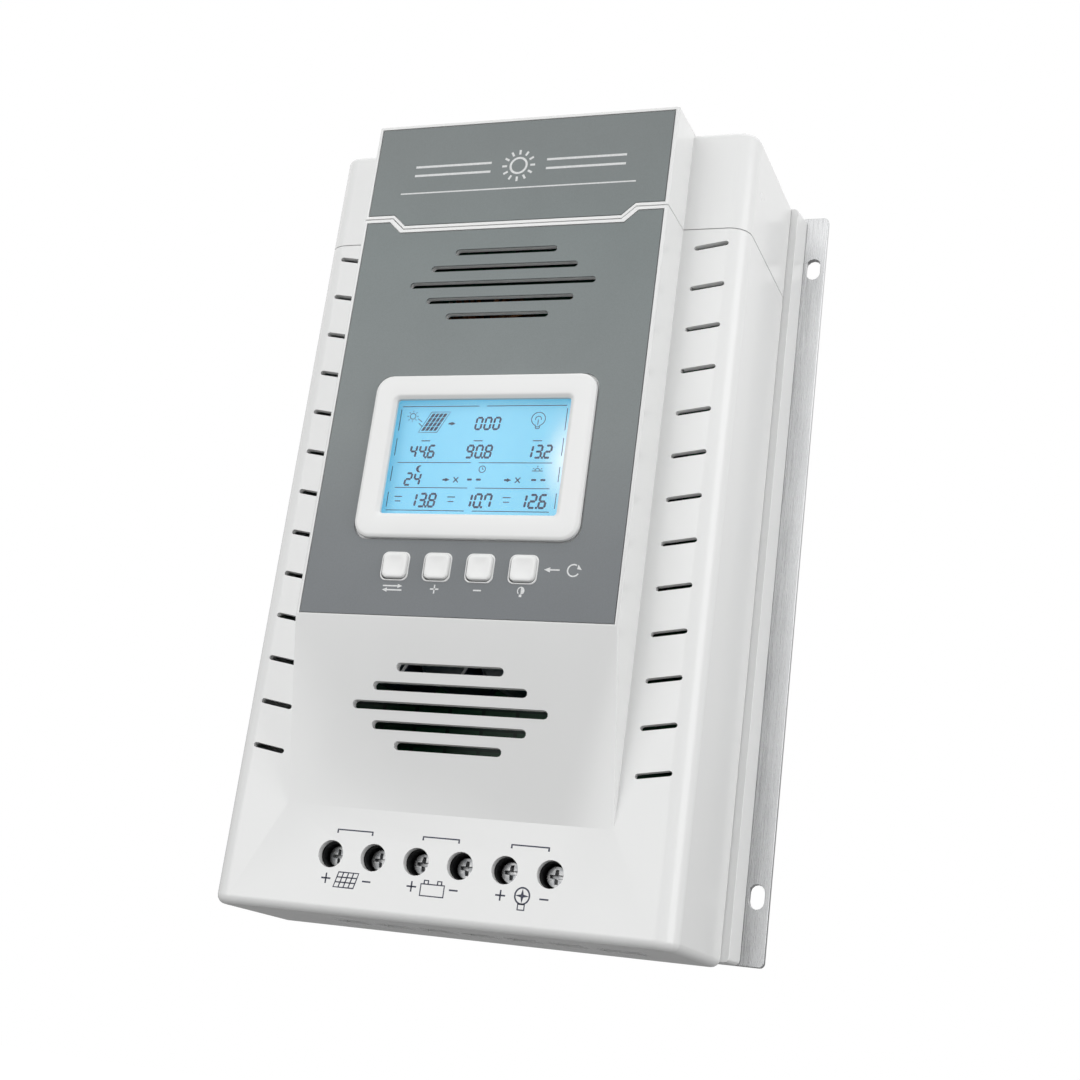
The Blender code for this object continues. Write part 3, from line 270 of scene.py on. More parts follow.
def grown(name, seed, tree, values):
    """The plain mesh that a geometry tree makes from a seed mesh."""
    holder = link(name, seed)
    growth = holder.modifiers.new("growth", "NODES")
    growth.node_group = tree
    keys = {item.name: item.identifier for item in tree.interface.items_tree
            if item.in_out == "INPUT"}
    for label, value in values.items():
        growth[keys[label]] = value
    mesh = evaluated(holder)
    bpy.data.objects.remove(holder)
    mesh.name = name
    return mesh


def line_tree():
    """Printed lines: every edge of the seed becomes a flat ribbon of ink."""
    tree, given = geometry_tree("printed_lines", (
        ("Line width", "Float"), ("Ink thickness", "Float"), ("Ink", "Material")))
    path = add_node(tree, "GeometryNodeMeshToCurve", {"Mesh": given["Geometry"]})
    upright = add_node(tree, "GeometryNodeSetCurveNormal", {"Curve": path.outputs["Curve"]},
                       mode="Z_UP")
    section = add_node(tree, "GeometryNodeCurvePrimitiveQuadrilateral",
                       {"Width": given["Line width"], "Height": given["Ink thickness"]})
    ribbon = add_node(tree, "GeometryNodeCurveToMesh", {
        "Curve": upright.outputs["Curve"], "Profile Curve": section.outputs["Curve"],
        "Fill Caps": True})
    return close_tree(tree, ribbon.outputs["Mesh"], given["Ink"])


def copies_tree():
    """Copies of one blank on the seed's points, each turned and sized by its own attributes."""
    tree, given = geometry_tree("copies_on_points", (("Blank", "Object"), ("Finish", "Material")))
    points = add_node(tree, "GeometryNodeMeshToPoints", {"Mesh": given["Geometry"]})
    blank = add_node(tree, "GeometryNodeObjectInfo", {"Object": given["Blank"]})
    turn, size = (add_node(tree, "GeometryNodeInputNamedAttribute", {"Name": name},
                           data_type="FLOAT_VECTOR").outputs["Attribute"]
                  for name in ("turn", "size"))
    placed = add_node(tree, "GeometryNodeInstanceOnPoints", {
        "Points": points.outputs["Points"], "Instance": blank.outputs["Geometry"],
        "Rotation": turn, "Scale": size})
    return close_tree(tree, placed.outputs["Instances"], given["Finish"])


def seed_points(name, places):
    """A mesh of loose points, each with a turn and a size: (place, turn, size)."""
    mesh = bpy.data.meshes.new(name)
    mesh.from_pydata([place[0] for place in places], [], [])
    for label, column in (("turn", 1), ("size", 2)):
        values = mesh.attributes.new(label, "FLOAT_VECTOR", "POINT")
        for item, place in zip(values.data, places):
            item.vector = place[column]
    return mesh


def copies(name, blank, places, finish):
    """A mesh of copies of a blank, made by the copies tree. The blank is used up."""
    mesh = grown(name, seed_points(name, places), COPIES, {"Blank": blank, "Finish": finish})
    bpy.data.objects.remove(blank)
    return mesh


def copied(name, blank, places, finish, stands_for=(), body=HOUSING):
    """A piece made of copies of a blank."""
    return dress(link(name, copies(name, blank, places, finish)), finish, stands_for, body)


# ---- finishes

def new_finish(name, colour, roughness, metallic=0.0):
    made = bpy.data.materials.new(name)
    made.use_nodes = True
    tree = made.node_tree
    shader = tree.nodes["Principled BSDF"]
    feed(tree, shader, {"Base Color": (*colour, 1), "Roughness": roughness, "Metallic": metallic})
    return made, tree, shader


def place_of(tree, stretch=(1, 1, 1), at=(0, 0, 0), turn=(0, 0, 0)):
    """Object coordinates, moved, turned and stretched."""
    spot = tree.nodes.new("ShaderNodeTexCoord")
    return add_node(tree, "ShaderNodeMapping", {
        "Vector": spot.outputs["Object"], "Location": at, "Rotation": turn,
        "Scale": stretch}).outputs["Vector"]


def noise(tree, grain, detail, rough=0.5, stretch=(1, 1, 1), turn=(0, 0, 0)):
    """Noise whose lumps are about one grain across, but for any stretch."""
    return add_node(tree, "ShaderNodeTexNoise", {
        "Vector": place_of(tree, stretch, turn=turn), "Scale": 1 / grain, "Detail": detail,
        "Roughness": rough}).outputs["Fac"]


def level(tree, value, low, high, start=0.3, end=0.7):
    return add_node(tree, "ShaderNodeMapRange", {
        "Value": value, "From Min": start, "From Max": end, "To Min": low,
        "To Max": high}).outputs["Result"]


def tones(tree, value, stops):
    """A colour ramp from (position, colour) stops."""
    made = add_node(tree, "ShaderNodeValToRGB", {"Fac": value})
    ramp = made.color_ramp
    while len(ramp.elements) < len(stops):
        ramp.elements.new(0.5)
    for element, (position, colour) in zip(ramp.elements, stops):
        element.position = position
        element.color = (*colour, 1)
    return made.outputs["Color"]


def bump(tree, shader, *heights):
    """Stacks (height, strength, distance) bumps on a shader."""
    below = {}
    for height, strength, distance in heights:
        made = add_node(tree, "ShaderNodeBump", {
            "Height": height, "Strength": strength, "Distance": distance, **below})
        below = {"Normal": made.outputs["Normal"]}
    feed(tree, shader, below)


def mixed(tree, share, first, second, blend="MIX"):
    """Two colours mixed: sockets, or for the second one a plain colour."""
    if isinstance(second, tuple):
        second = (*second, 1)
    return add_node(tree, "ShaderNodeMix", {0: share, 6: first, 7: second}, data_type="RGBA",
                    blend_type=blend).outputs[2]


def split(tree, vector):
    return add_node(tree, "ShaderNodeSeparateXYZ", {"Vector": vector}).outputs


def white_abs():
    """Glossy moulded plastic: faint flow tones, a fine orange peel and a slightly uneven gloss."""
    made, tree, shader = new_finish("gloss_white_abs", (0.84, 0.84, 0.84), 0.24)
    flow = noise(tree, 60 * MM, 3, stretch=(1, 1, 0.5))
    tinge = tones(tree, flow, [(0.0, (0.800, 0.805, 0.800)), (1.0, (0.885, 0.890, 0.886))])
    feed(tree, shader, {
        "Base Color": tinge,
        "Roughness": level(tree, noise(tree, 18 * MM, 2), 0.235, 0.285, 0, 1),
        "Coat Weight": 0.2, "Coat Roughness": 0.10})
    bump(tree, shader, (noise(tree, 40 * MM, 1), 0.03, 0.2 * MM),
         (noise(tree, 1.6 * MM, 1), 0.03, 0.01 * MM))
    return made


def overlay_film():
    """Screen-printed film: satin, with a fine velvet grain, a faint cloudy tone and painted shade
    that darkens it towards the bottom.
    """
    made, tree, shader = new_finish("grey_overlay_film", (0.27, 0.29, 0.30), 0.42)
    # Painted shade: the film's tone follows its height, darkest at the bottom and a little darker
    # at the top, as the light falls on the slab.
    height = split(tree, place_of(tree))["Z"]
    painted_shade_by_height = tones(tree, level(tree, height, 0, 1, -0.06, 0.11),
                 [(0.0, (0.165, 0.178, 0.192)), (0.25, (0.188, 0.204, 0.214)),
                  (0.45, (0.222, 0.248, 0.250)), (0.80, (0.208, 0.240, 0.240)),
                  (1.0, (0.205, 0.230, 0.230))])
    cloud = tones(tree, noise(tree, 22 * MM, 4), [(0.3, (0.94, 0.94, 0.94)), (0.7, (1, 1, 1))])
    grain = noise(tree, 0.28 * MM, 2)
    speck = tones(tree, grain, [(0.3, (0.90, 0.90, 0.90)), (0.7, (1, 1, 1))])
    painted_shade_and_cloud = mixed(tree, 1.0, painted_shade_by_height, cloud, "MULTIPLY")
    feed(tree, shader, {"Base Color": mixed(tree, 1.0, painted_shade_and_cloud, speck, "MULTIPLY"),
                        "Roughness": level(tree, grain, 0.36, 0.52)})
    bump(tree, shader, (grain, 0.25, 0.012 * MM))
    return made


def brushed_aluminium(name, along, light, dark, rough):
    """Bare aluminium with fine brush lines, long one way and thin the other."""
    made, tree, shader = new_finish(name, light, rough, 1.0)
    lines = noise(tree, 0.35 * MM, 5, 0.65, along)
    brushed = tones(tree, lines, [(0.32, dark), (0.68, light)])
    dulled = tones(tree, noise(tree, 30 * MM, 4),
                   [(0.3, (0.90, 0.90, 0.905)), (0.7, (1, 1, 1))])
    feed(tree, shader, {"Base Color": mixed(tree, 1.0, brushed, dulled, "MULTIPLY"),
                        "Roughness": level(tree, lines, rough - 0.07, rough + 0.10),
                        "Anisotropic": 0.5})
    bump(tree, shader, (lines, 0.22, 0.01 * MM))
    return made


def varied(name, colour, rough, shade, gloss, relief, metallic=0.0, coat=0.0):
    """A finish that varies with noise, each noise given by its (grain, detail, ...).

    The shade is (noise, stops), the gloss (noise, low, high) or None, and the relief
    (noise, strength, distance).
    """
    made, tree, shader = new_finish(name, colour, rough, metallic)
    spots, stops = shade
    feed(tree, shader, {"Base Color": tones(tree, noise(tree, *spots), stops), "Coat Weight": coat})
    if gloss:
        spots, low, high = gloss
        feed(tree, shader, {"Roughness": level(tree, noise(tree, *spots), low, high)})
    spots, strength, distance = relief
    bump(tree, shader, (noise(tree, *spots), strength, distance))
    return made


def plated_steel(name, light, dark):
    """Zinc plate: bright, slightly patchy, with turning marks and fine pits."""
    patch = (1.6 * MM, 4)
    return varied(name, light, 0.3, (patch, [(0.3, dark), (0.65, light)]), (patch, 0.34, 0.20),
                  ((0.25 * MM, 3), 0.25, 0.02 * MM), metallic=1.0)


def dark_moulding(name, colour, rough=0.5):
    """A dark glass-filled moulding with a sparked texture."""
    cells = (0.35 * MM, 3, 0.6)
    paler = tuple(part * 1.7 + 0.006 for part in colour)
    return varied(name, colour, rough, ((6 * MM, 3), [(0.3, colour), (0.75, paler)]),
                  (cells, rough - 0.1, rough + 0.12), (cells, 0.35, 0.03 * MM))


def circuit_board():
    """Green resist over copper runs, with rows of tinned pads."""
    made, tree, shader = new_finish("circuit_board", (0.02, 0.14, 0.06), 0.32)
    runs = add_node(tree, "ShaderNodeTexBrick", {
        "Vector": place_of(tree, turn=(math.pi / 2, 0, 0)), "Scale": 1.0, "Mortar Size": 0.0006,
        "Brick Width": 0.011, "Row Height": 0.0031, "Mortar Smooth": 0.1,
        "Color1": (0.012, 0.10, 0.045, 1), "Color2": (0.020, 0.15, 0.065, 1),
        "Mortar": (0.006, 0.06, 0.03, 1)}).outputs
    cells = add_node(tree, "ShaderNodeTexVoronoi", {
        "Vector": place_of(tree), "Scale": 1 / (3.2 * MM), "Randomness": 0.35})
    pads = tones(tree, cells.outputs["Distance"], [(0.13, (1, 1, 1)), (0.16, (0, 0, 0))])
    feed(tree, shader, {"Base Color": mixed(tree, pads, runs["Color"], (0.55, 0.56, 0.55))})
    bump(tree, shader, (runs["Fac"], 0.3, 0.04 * MM))
    return made


def turned_brass():
    rings = (1.4 * MM, 3, 0.5, (1, 9, 1))
    stops = [(0.3, (0.50, 0.33, 0.11)), (0.7, (0.74, 0.55, 0.24))]
    return varied("turned_brass", (0.70, 0.50, 0.20), 0.3, (rings, stops), None,
                  (rings, 0.2, 0.02 * MM), metallic=1.0)


def enamelled_copper():
    dips = (2.2 * MM, 3)
    stops = [(0.3, (0.30, 0.10, 0.035)), (0.7, (0.56, 0.24, 0.09))]
    return varied("enamelled_copper", (0.45, 0.17, 0.06), 0.22, (dips, stops), None,
                  (dips, 0.15, 0.04 * MM), metallic=0.6, coat=0.6)


def capacitor_can(front):
    """A dark sleeve that stops short of a bare, scored end."""
    made, tree, shader = new_finish("capacitor_sleeve", (0.02, 0.03, 0.07), 0.28)
    depth = split(tree, place_of(tree))["Y"]
    bare = level(tree, depth, 1, 0, front + 0.5 * MM, front + 0.7 * MM)
    streak = noise(tree, 3 * MM, 3, stretch=(1, 0.2, 1))
    sleeve = tones(tree, streak, [(0.3, (0.012, 0.018, 0.045)), (0.7, (0.03, 0.045, 0.10))])
    feed(tree, shader, {"Base Color": mixed(tree, bare, sleeve, (0.62, 0.62, 0.63)),
                        "Metallic": bare})
    bump(tree, shader, (streak, 0.2, 0.03 * MM))
    return made


def tinted_plastic(name, deep, pale, rough):
    cloud = (4 * MM, 3)
    return varied(name, pale, rough, (cloud, [(0.3, deep), (0.7, pale)]),
                  (cloud, rough - 0.05, rough + 0.08), ((0.5 * MM, 2), 0.1, 0.02 * MM))


def ink(name, colour, paler):
    """Screen ink: a thin, slightly uneven film."""
    patch = (0.6 * MM, 4)
    return varied(name, colour, 0.5, (patch, [(0.35, colour), (0.72, paler)]),
                  (patch, 0.42, 0.58), (patch, 0.2, 0.01 * MM))


def clear_pane():
    """The hard-coated window: almost invisible but for its gloss and faint wipe marks."""
    made, tree, shader = new_finish("clear_pane", (0.96, 0.99, 1.0), 0.03)
    wipes = noise(tree, 6 * MM, 4, 0.7, (1, 1, 5), (0, 0.6, 0))
    feed(tree, shader, {"Roughness": level(tree, wipes, 0.015, 0.07), "Transmission Weight": 1.0,
                        "IOR": 1.3})
    return made


def lit_glass(low, high):
    """The lit display: cool blue, with a pale bloom from the lamp at its right-hand edge."""
    made, tree, shader = new_finish("lit_display", (0.08, 0.30, 0.42), 0.35)
    width, height = high.x - low.x, high.z - low.z
    lamp = Vector((high.x - 0.03 * width, 0, low.z + 0.52 * height))
    reach = (0.17 * width, 1, 0.50 * height)
    where = place_of(tree, tuple(1 / part for part in reach),
                     tuple(-spot / part for spot, part in zip(lamp, reach)))
    flat = add_node(tree, "ShaderNodeVectorMath", {0: where, 1: (1, 0, 1)}, operation="MULTIPLY")
    glow = add_node(tree, "ShaderNodeTexGradient", {"Vector": flat.outputs["Vector"]},
                    gradient_type="SPHERICAL")
    across = level(tree, split(tree, place_of(tree))["X"], 0, 1, low.x, high.x)
    film = tones(tree, across, [(0.0, (0.165, 0.530, 0.760)), (0.5, (0.235, 0.610, 0.830)),
                                (1.0, (0.180, 0.540, 0.740))])
    bloom = tones(tree, glow.outputs["Fac"], [(0.0, (0, 0, 0)), (0.25, (0.10, 0.10, 0.10)),
                                              (0.60, (0.60, 0.60, 0.60)), (0.85, (1, 1, 1))])
    mottle = tones(tree, noise(tree, 2.5 * MM, 3), [(0.3, (0.94, 0.95, 0.96)), (0.7, (1, 1, 1))])
    body = mixed(tree, 1.0, film, mottle, "MULTIPLY")
    feed(tree, shader, {"Emission Color": mixed(tree, bloom, body, (0.93, 1.0, 1.0)),
                        "Emission Strength": 0.74})
    return made


def painted_floor():
    """A pale floor that looks lit white and throws only a little light back up."""
    made, tree, shader = new_finish("pale_floor", (0.86, 0.86, 0.86), 0.7)
    pale = tones(tree, noise(tree, 0.5, 3), [(0.3, (0.20, 0.20, 0.20)), (0.7, (0.22, 0.22, 0.22))])
    ray = tree.nodes.new("ShaderNodeLightPath")
    feed(tree, shader, {"Base Color": pale, "Emission Color": (1, 1, 1, 1),
                        "Emission Strength": ray.outputs["Is Camera Ray"]})
    return made


# ---- drawing

def arc(u, v, across, up, start, end, steps=24):
    """Points on part of an ellipse, from one angle to another in degrees."""
    angles = (math.radians(start + (end - start) * step / steps) for step in range(steps + 1))
    return [(u + across * math.cos(angle), v + up * math.sin(angle)) for angle in angles]


def bar(u, v, width, height):
    return [(u - width / 2, v - height / 2), (u + width / 2, v - height / 2),
            (u + width / 2, v + height / 2), (u - width / 2, v + height / 2)]


def looped(points):
    return points + points[:1]


def add_patch(shape, points, thick):
    """A filled outline, one ink film thick."""
    back, front = ([shape.verts.new((u, v, out)) for u, v in points] for out in (0, thick))
    shape.faces.new(front)
    shape.faces.new(back[::-1])
    add_band(shape, back, front)


def line_seed(name, paths):
    """Loose edges along each path; a path that ends where it starts is a closed loop."""
    seed = bmesh.new()
    for points in paths:
        closed = points[0] == points[-1]
        corners = [seed.verts.new((u, v, 0)) for u, v in (points[:-1] if closed else points)]
        for first, second in zip(corners, corners[1:]):
            seed.edges.new((first, second))
        if closed:
            seed.edges.new((corners[-1], corners[0]))
    return mesh_of(name, seed)


def printed(name, origin, finish, lines, patches=(), extra=()):
    """One print from (width, path) lines, filled patches and ready meshes, laid on the front."""
    thick = INK_THICK / MM
    shape = bmesh.new()
    for width in sorted({width for width, path in lines}):
        seed = line_seed(name, [path for wide, path in lines if wide == width])
        shape.from_mesh(grown(name, seed, LINES, {"Line width": width, "Ink thickness": thick,
                                                  "Ink": finish}))
    for points in patches:
        add_patch(shape, points, thick)
    for mesh in extra:
        shape.from_mesh(mesh)
    lay_on(shape, origin + Vector((0, INK_SINK, 0)))
    return to_piece(name, shape, finish)


def arrow(u, v, length, head, direction=1):
    """The filled head of an arrow whose shaft starts at (u, v)."""
    tip = u + direction * length
    back = tip - direction * head
    return [(back, v - head * 0.42), (tip, v), (back, v + head * 0.42)][::direction]


def minus(u, v, size, width):
    return [(width, [(u - size / 2, v), (u + size / 2, v)])]


def plus(u, v, size, width):
    return minus(u, v, size, width) + [(width, [(u, v - size / 2), (u, v + size / 2)])]


# ---- display

SEGMENTS = {"0": "abcdef", "1": "bc", "2": "abged", "3": "abgcd", "4": "fgbc", "6": "afgedc",
            "7": "abcf", "8": "abcdefg", "9": "abcdfg", "-": "g"}
SLANT = math.radians(7)


def segment_places(text, u, v, height):
    """Places for the bars of slanting seven-bar figures, from the left, and their points."""
    wide, thin = height * 0.48, height * 0.17
    spots = {"a": (wide / 2, height, 0), "g": (wide / 2, height / 2, 0), "d": (wide / 2, 0, 0),
             "f": (0, height * 0.75, 1), "b": (wide, height * 0.75, 1),
             "e": (0, height * 0.25, 1), "c": (wide, height * 0.25, 1)}
    places, dots = [], []
    for figure in text:
        if figure == ".":
            dots.append(bar(u - wide * 0.28, v, thin, thin))
            continue
        for key in SEGMENTS[figure]:
            across, up, upright = spots[key]
            lean = math.tan(SLANT) * up
            turn = math.pi / 2 - SLANT if upright else 0.0
            places.append(((u + across + lean, v + up, 0), (0, 0, turn), (height * 0.44, thin, 1)))
        u += wide * 1.62
    return places, dots


def segment_blank():
    """One bar, a unit long and wide, with pointed ends."""
    shape = bmesh.new()
    add_patch(shape, [(-0.5, 0), (-0.4, -0.5), (0.4, -0.5), (0.5, 0), (0.4, 0.5), (-0.4, 0.5)],
              INK_THICK / MM)
    return link("segment_blank", mesh_of("segment_blank", shape))


def leaning(u, v, width, height, lean):
    """Turns shares of a leaning panel's width and height into places."""
    return lambda across, up: (u + width * (across - 0.5) + lean * (up - 0.5),
                               v + height * (up - 0.5))


def panel_sign(place, columns, rows, border, rule):
    """A leaning solar panel with its grid of cells."""
    at = leaning(*place)
    lines = [(border, looped([at(0, 0), at(1, 0), at(1, 1), at(0, 1)]))]
    lines += [(rule, [at(n / columns, 0), at(n / columns, 1)]) for n in range(1, columns)]
    lines += [(rule, [at(0, n / rows), at(1, n / rows)]) for n in range(1, rows)]
    return lines


def panel_cells(place, columns, rows):
    """The solid cells of such a panel, as patches with fine gaps."""
    at = leaning(*place)
    cells = []
    for column in range(columns):
        for row in range(rows):
            left, right = (column + 0.13) / columns, (column + 0.87) / columns
            low, high = (row + 0.06) / rows, (row + 0.94) / rows
            cells.append([at(left, low), at(right, low), at(right, high), at(left, high)])
    return cells


def sun_sign(u, v, radius, rays, width):
    lines = [(width, looped(arc(u, v, radius, radius, 0, 360, 28)[:-1]))]
    for ray in range(rays):
        turn = 2 * math.pi * ray / rays
        near, far = radius * 1.45, radius * 2.05
        lines.append((width, [(u + near * math.cos(turn), v + near * math.sin(turn)),
                              (u + far * math.cos(turn), v + far * math.sin(turn))]))
    return lines


def lamp_sign(u, v, size, width):
    """A plain bulb: a round glass, a neck and two rungs of its cap."""
    neck, base, cap = size * 0.30, v - size * 0.95, v - size * 1.35
    lines = [(width, [(u - neck, base)] + arc(u, v, size, size, 235, -55, 30)
              + [(u + neck, base), (u + neck, cap)]), (width, [(u - neck, base), (u - neck, cap)])]
    lines += [(width, [(u - neck, v - size * drop), (u + neck, v - size * drop)])
              for drop in (1.15, 1.4)]
    lines.append((width, arc(u, v, size * 0.42, size * 0.42, 200, -20, 14)))
    lines.append((width, [(u, v - size * 0.9), (u, v - size * 0.1)]))
    return lines


def moon_sign(u, v, size):
    return (arc(u, v, size, size, 60, 300, 20)
            + arc(u + size * 0.55, v, size * 0.80, size * 0.86, 255, 105, 16))


def clock_sign(u, v, size, width):
    return [(width, looped(arc(u, v, size, size, 0, 360, 24)[:-1])),
            (width, [(u, v + size * 0.6), (u, v), (u + size * 0.5, v)])]


def dawn_sign(u, v, size, width):
    lines = [(width, [(u - size * 1.5, v - size * 0.5), (u + size * 1.5, v - size * 0.5)]),
             (width, arc(u, v - size * 0.5, size * 0.7, size * 0.7, 0, 180, 14))]
    for turn in (30, 90, 150):
        across, up = math.cos(math.radians(turn)), math.sin(math.radians(turn))
        lines.append((width, [(u + across * size, v - size * 0.5 + up * size),
                              (u + across * size * 1.45, v - size * 0.5 + up * size * 1.45)]))
    return lines


def display_frame():
    """The broken rules that divide the display into its rows."""
    lines = []
    for v, left, right in ((17.1, 26.2, 24.6), (-0.6, 25.0, 22.4), (-8.4, 24.6, 22.6),
                           (-15.4, 26.4, 23.4)):
        lines.append((FINE_LINE / MM, [(-left - 1.0, v), (-2.6, v)]))
        lines.append((FINE_LINE / MM, [(-0.2, v), (right, v)]))
    for low, high in ((9.4, 16.2), (1.6, 7.0), (-6.4, -1.8), (-14.4, -9.8)):
        lines += [(FINE_LINE / MM, [(side, low), (side, high)]) for side in (-27.4, 24.9)]
    return lines


def display_symbols(finish):
    """Everything the lit display shows: figures, pictures and rules."""
    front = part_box("lcd_panel")[0].y
    centre = middle("lcd_window")
    fine = FINE_LINE / MM
    lines = display_frame()
    lines += panel_sign((-16.2, 12.1, 6.0, 6.4, 3.4), 1, 1, 0.24, 0.2)
    cells = panel_cells((-16.2, 12.1, 5.1, 5.6, 3.0), 4, 4)
    lines += sun_sign(-23.4, 14.0, 0.9, 8, fine)
    lines += lamp_sign(16.4, 12.9, 2.1, fine)
    lines += clock_sign(1.2, -2.6, 1.0, fine) + dawn_sign(18.2, -2.5, 1.1, fine)
    lines += [(fine, [(-21.6, 13.2), (-20.2, 12.2)]), (fine, [(-21.2, 11.8), (-19.9, 10.7)])]
    patches = [moon_sign(-18.6, -2.6, 1.1)] + cells
    for u, v in ((-10.4, 11.6), (-9.6, -5.9), (9.6, -5.9)):
        patches += [bar(u - 0.6, v, 1.1, 0.55), arrow(u - 0.4, v, 1.5, 1.4)]
    for u in (-6.6, 12.6):
        lines += [(0.34, [(u - 0.75, low), (u + 0.75, -11.8 - low)]) for low in (-6.7, -5.1)]
    for u in (-18.0, -1.4, 17.0):
        patches.append(bar(u, 6.2, 2.8, 0.3))
    for u in (-24.0, -7.2, 10.0):
        patches += [bar(u, -11.2, 2.4, 0.3), bar(u, -12.6, 1.8, 0.3)]
    places = []
    for text, u, v, height in (("000", -3.0, 9.8, 3.6), ("44.6", -22.6, 1.0, 3.7),
                               ("90.8", -4.6, 1.0, 3.7), ("13.2", 13.8, 1.0, 3.7),
                               ("24", -22.8, -7.6, 3.6), ("--", -3.4, -7.6, 3.6),
                               ("--", 16.4, -7.6, 3.6), ("13.8", -20.4, -14.2, 3.9),
                               ("10.7", -3.0, -14.2, 3.9), ("12.6", 13.8, -14.2, 3.9)):
        bars, dots = segment_places(text, u, v, height)
        places += bars
        patches += dots
    figures = copies("display_figures", segment_blank(), places, finish)
    origin = Vector((centre.x, front, centre.z))
    return printed("display_symbols", origin, finish, lines, patches, [figures])


def bezel(finish):
    """The window's frame: a soft outer edge, a flat face and a sloping inner edge."""
    low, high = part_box("lcd_bezel")
    centre = middle("lcd_bezel")
    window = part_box("lcd_window")
    label_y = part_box("face_label")[0].y
    outer = (high.x - low.x, high.z - low.z)
    sight = (window[1].x - window[0].x - WINDOW_LAP, window[1].z - window[0].z - WINDOW_LAP)
    front, behind, sunk = low.y, window[0].y - 0.1 * MM, label_y + 0.35 * MM
    rings = [(base[0] + grow * MM, base[1] + grow * MM, radius * MM, y)
             for base, grow, radius, y in (
                 (sight, 0, 1.0, behind), (sight, 0, 1.0, front + 0.80 * MM),
                 (sight, 1.5, 1.7, front + 0.22 * MM), (sight, 2.2, 2.0, front + 0.04 * MM),
                 (sight, 3.0, 2.3, front), (outer, -2.6, 3.9, front),
                 (outer, -1.3, 4.55, front + 0.10 * MM), (outer, -0.4, 5.0, front + 0.42 * MM),
                 (outer, 0, 5.2, front + 0.95 * MM), (outer, 0, 5.2, label_y + 0.1 * MM),
                 (outer, -0.2, 5.2, sunk), (outer, -5.4, 2.2, sunk), (outer, -5.4, 2.2, high.y),
                 (sight, 3.4, 1.2, high.y), (sight, 3.4, 1.2, behind))]
    return to_piece("bezel_frame", stacked(centre, rings, closed=True), finish,
                    ("lcd_bezel",))


def button_cap(index, finish):
    """A soft, faintly dished key with the lip that holds it in the cover."""
    node = f"button_{index}"
    low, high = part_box(node)
    centre = middle(node)
    front, foot, lip = low.y, high.y - 1.0 * MM, high.x - low.x
    size = lip - KEY_LIP
    rings = [(size * share, size * share, size * curve, front + back * MM)
             for share, curve, back in ((0.30, 0.12, 0.26), (0.56, 0.15, 0.16), (0.74, 0.17, 0.02),
                                        (0.86, 0.19, 0), (0.95, 0.21, 0.14), (1, 0.22, 0.50))]
    rings += [(wide, wide, size * 0.22, y)
              for wide, y in ((size, foot), (lip, foot), (lip, high.y))]
    return to_piece(f"key_{index}", stacked(centre, rings, dimple=0.02 * MM), finish,
                    (node,), body=node)


def key_collars(finish):
    """A slim rim round each key, moulded on the cover; it shows most below and to the left."""
    label_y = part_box("face_label")[0].y
    shape = bmesh.new()
    for index in range(1, BUTTONS + 1):
        low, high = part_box(f"button_{index}")
        size = high.x - low.x - KEY_LIP
        centre = middle(f"button_{index}") + Vector((-0.12 * MM, 0, -0.16 * MM))
        rings = [(size + grow * MM, size + grow * MM, 1.9 * MM, label_y + step * MM)
                 for grow, step in ((0.42, 0.30), (0.42, -0.16), (0.55, -0.26), (0.90, -0.26),
                                    (1.12, -0.10), (1.16, 0.02))]
        mesh = mesh_of("collar", stacked(centre, rings, closed=True))
        shape.from_mesh(mesh)
        bpy.data.meshes.remove(mesh)
    return to_piece("key_collars", shape, finish)


# ---- printed marks

def header_mark(finish):
    """A plain sun between thin rules, on the header film."""
    low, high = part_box("header_label")
    origin = Vector((0, low.y, (low.z + high.z) / 2))
    width = (high.x - low.x) / MM
    v = 1.6
    lines = sun_sign(0, v, 2.6, 12, 0.7)
    lines += [(0.75, [(side * 9.0, v + drop), (side * width * 0.36, v + drop)])
              for side in (-1, 1) for drop in (1.5, -1.5)]
    lines.append((0.45, [(-width * 0.40, v - 7.6), (width * 0.40, v - 7.6)]))
    return printed("header_mark", origin, finish, lines)


def key_signs(finish):
    """What each key does, in line drawings under it, and a turning arrow beside the last."""
    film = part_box("face_label")[0].y
    row = middle("button_1").z
    origin = Vector((0, film, row))
    places = [middle(f"button_{index}").x / MM for index in range(1, BUTTONS + 1)]
    line, drop = LABEL_LINE / MM, -6.6
    first, second, third, last = places
    lines = [(line, [(first - 3.0, drop + 0.6), (first + 2.4, drop + 0.6)]),
             (line, [(first - 2.4, drop - 0.6), (first + 3.0, drop - 0.6)])]
    patches = [arrow(first + 1.4, drop + 0.6, 1.7, 1.5),
               arrow(first - 1.4, drop - 0.6, 1.7, 1.5, -1)]
    lines += plus(second, drop, 2.6, line) + minus(third, drop, 2.4, line)
    bulb = arc(last, drop + 0.3, 0.95, 1.05, -50, 230, 24)
    lines.append((line * 0.7, bulb))
    patches += [arc(last, drop + 0.3, 0.95, 1.05, -90, 90, 14), bar(last, drop - 1.15, 0.8, 0.7)]
    reach = last + 6.0
    lines.append((line, [(reach + 0.9, 0), (reach + 4.6, 0)]))
    patches.append(arrow(reach + 2.2, 0, 2.2, 1.8, -1))
    around = reach + 8.6
    lines.append((line, arc(around, 0, 1.7, 1.7, 60, 330, 24)))
    patches.append([(around + 1.0, 0.4), (around + 2.4, 0.2), (around + 1.3, 1.7)])
    return printed("key_signs", origin, finish, lines, patches)


def battery_sign(u, v, line):
    lines = [(line, looped(bar(u, v - 0.5, 7.0, 3.2)))]
    for side in (-1, 1):
        lines.append((line, [(u + side * 2.0 - 0.6, v + 1.1), (u + side * 2.0 - 0.6, v + 2.1),
                             (u + side * 2.0 + 0.6, v + 2.1), (u + side * 2.0 + 0.6, v + 1.1)]))
    return lines


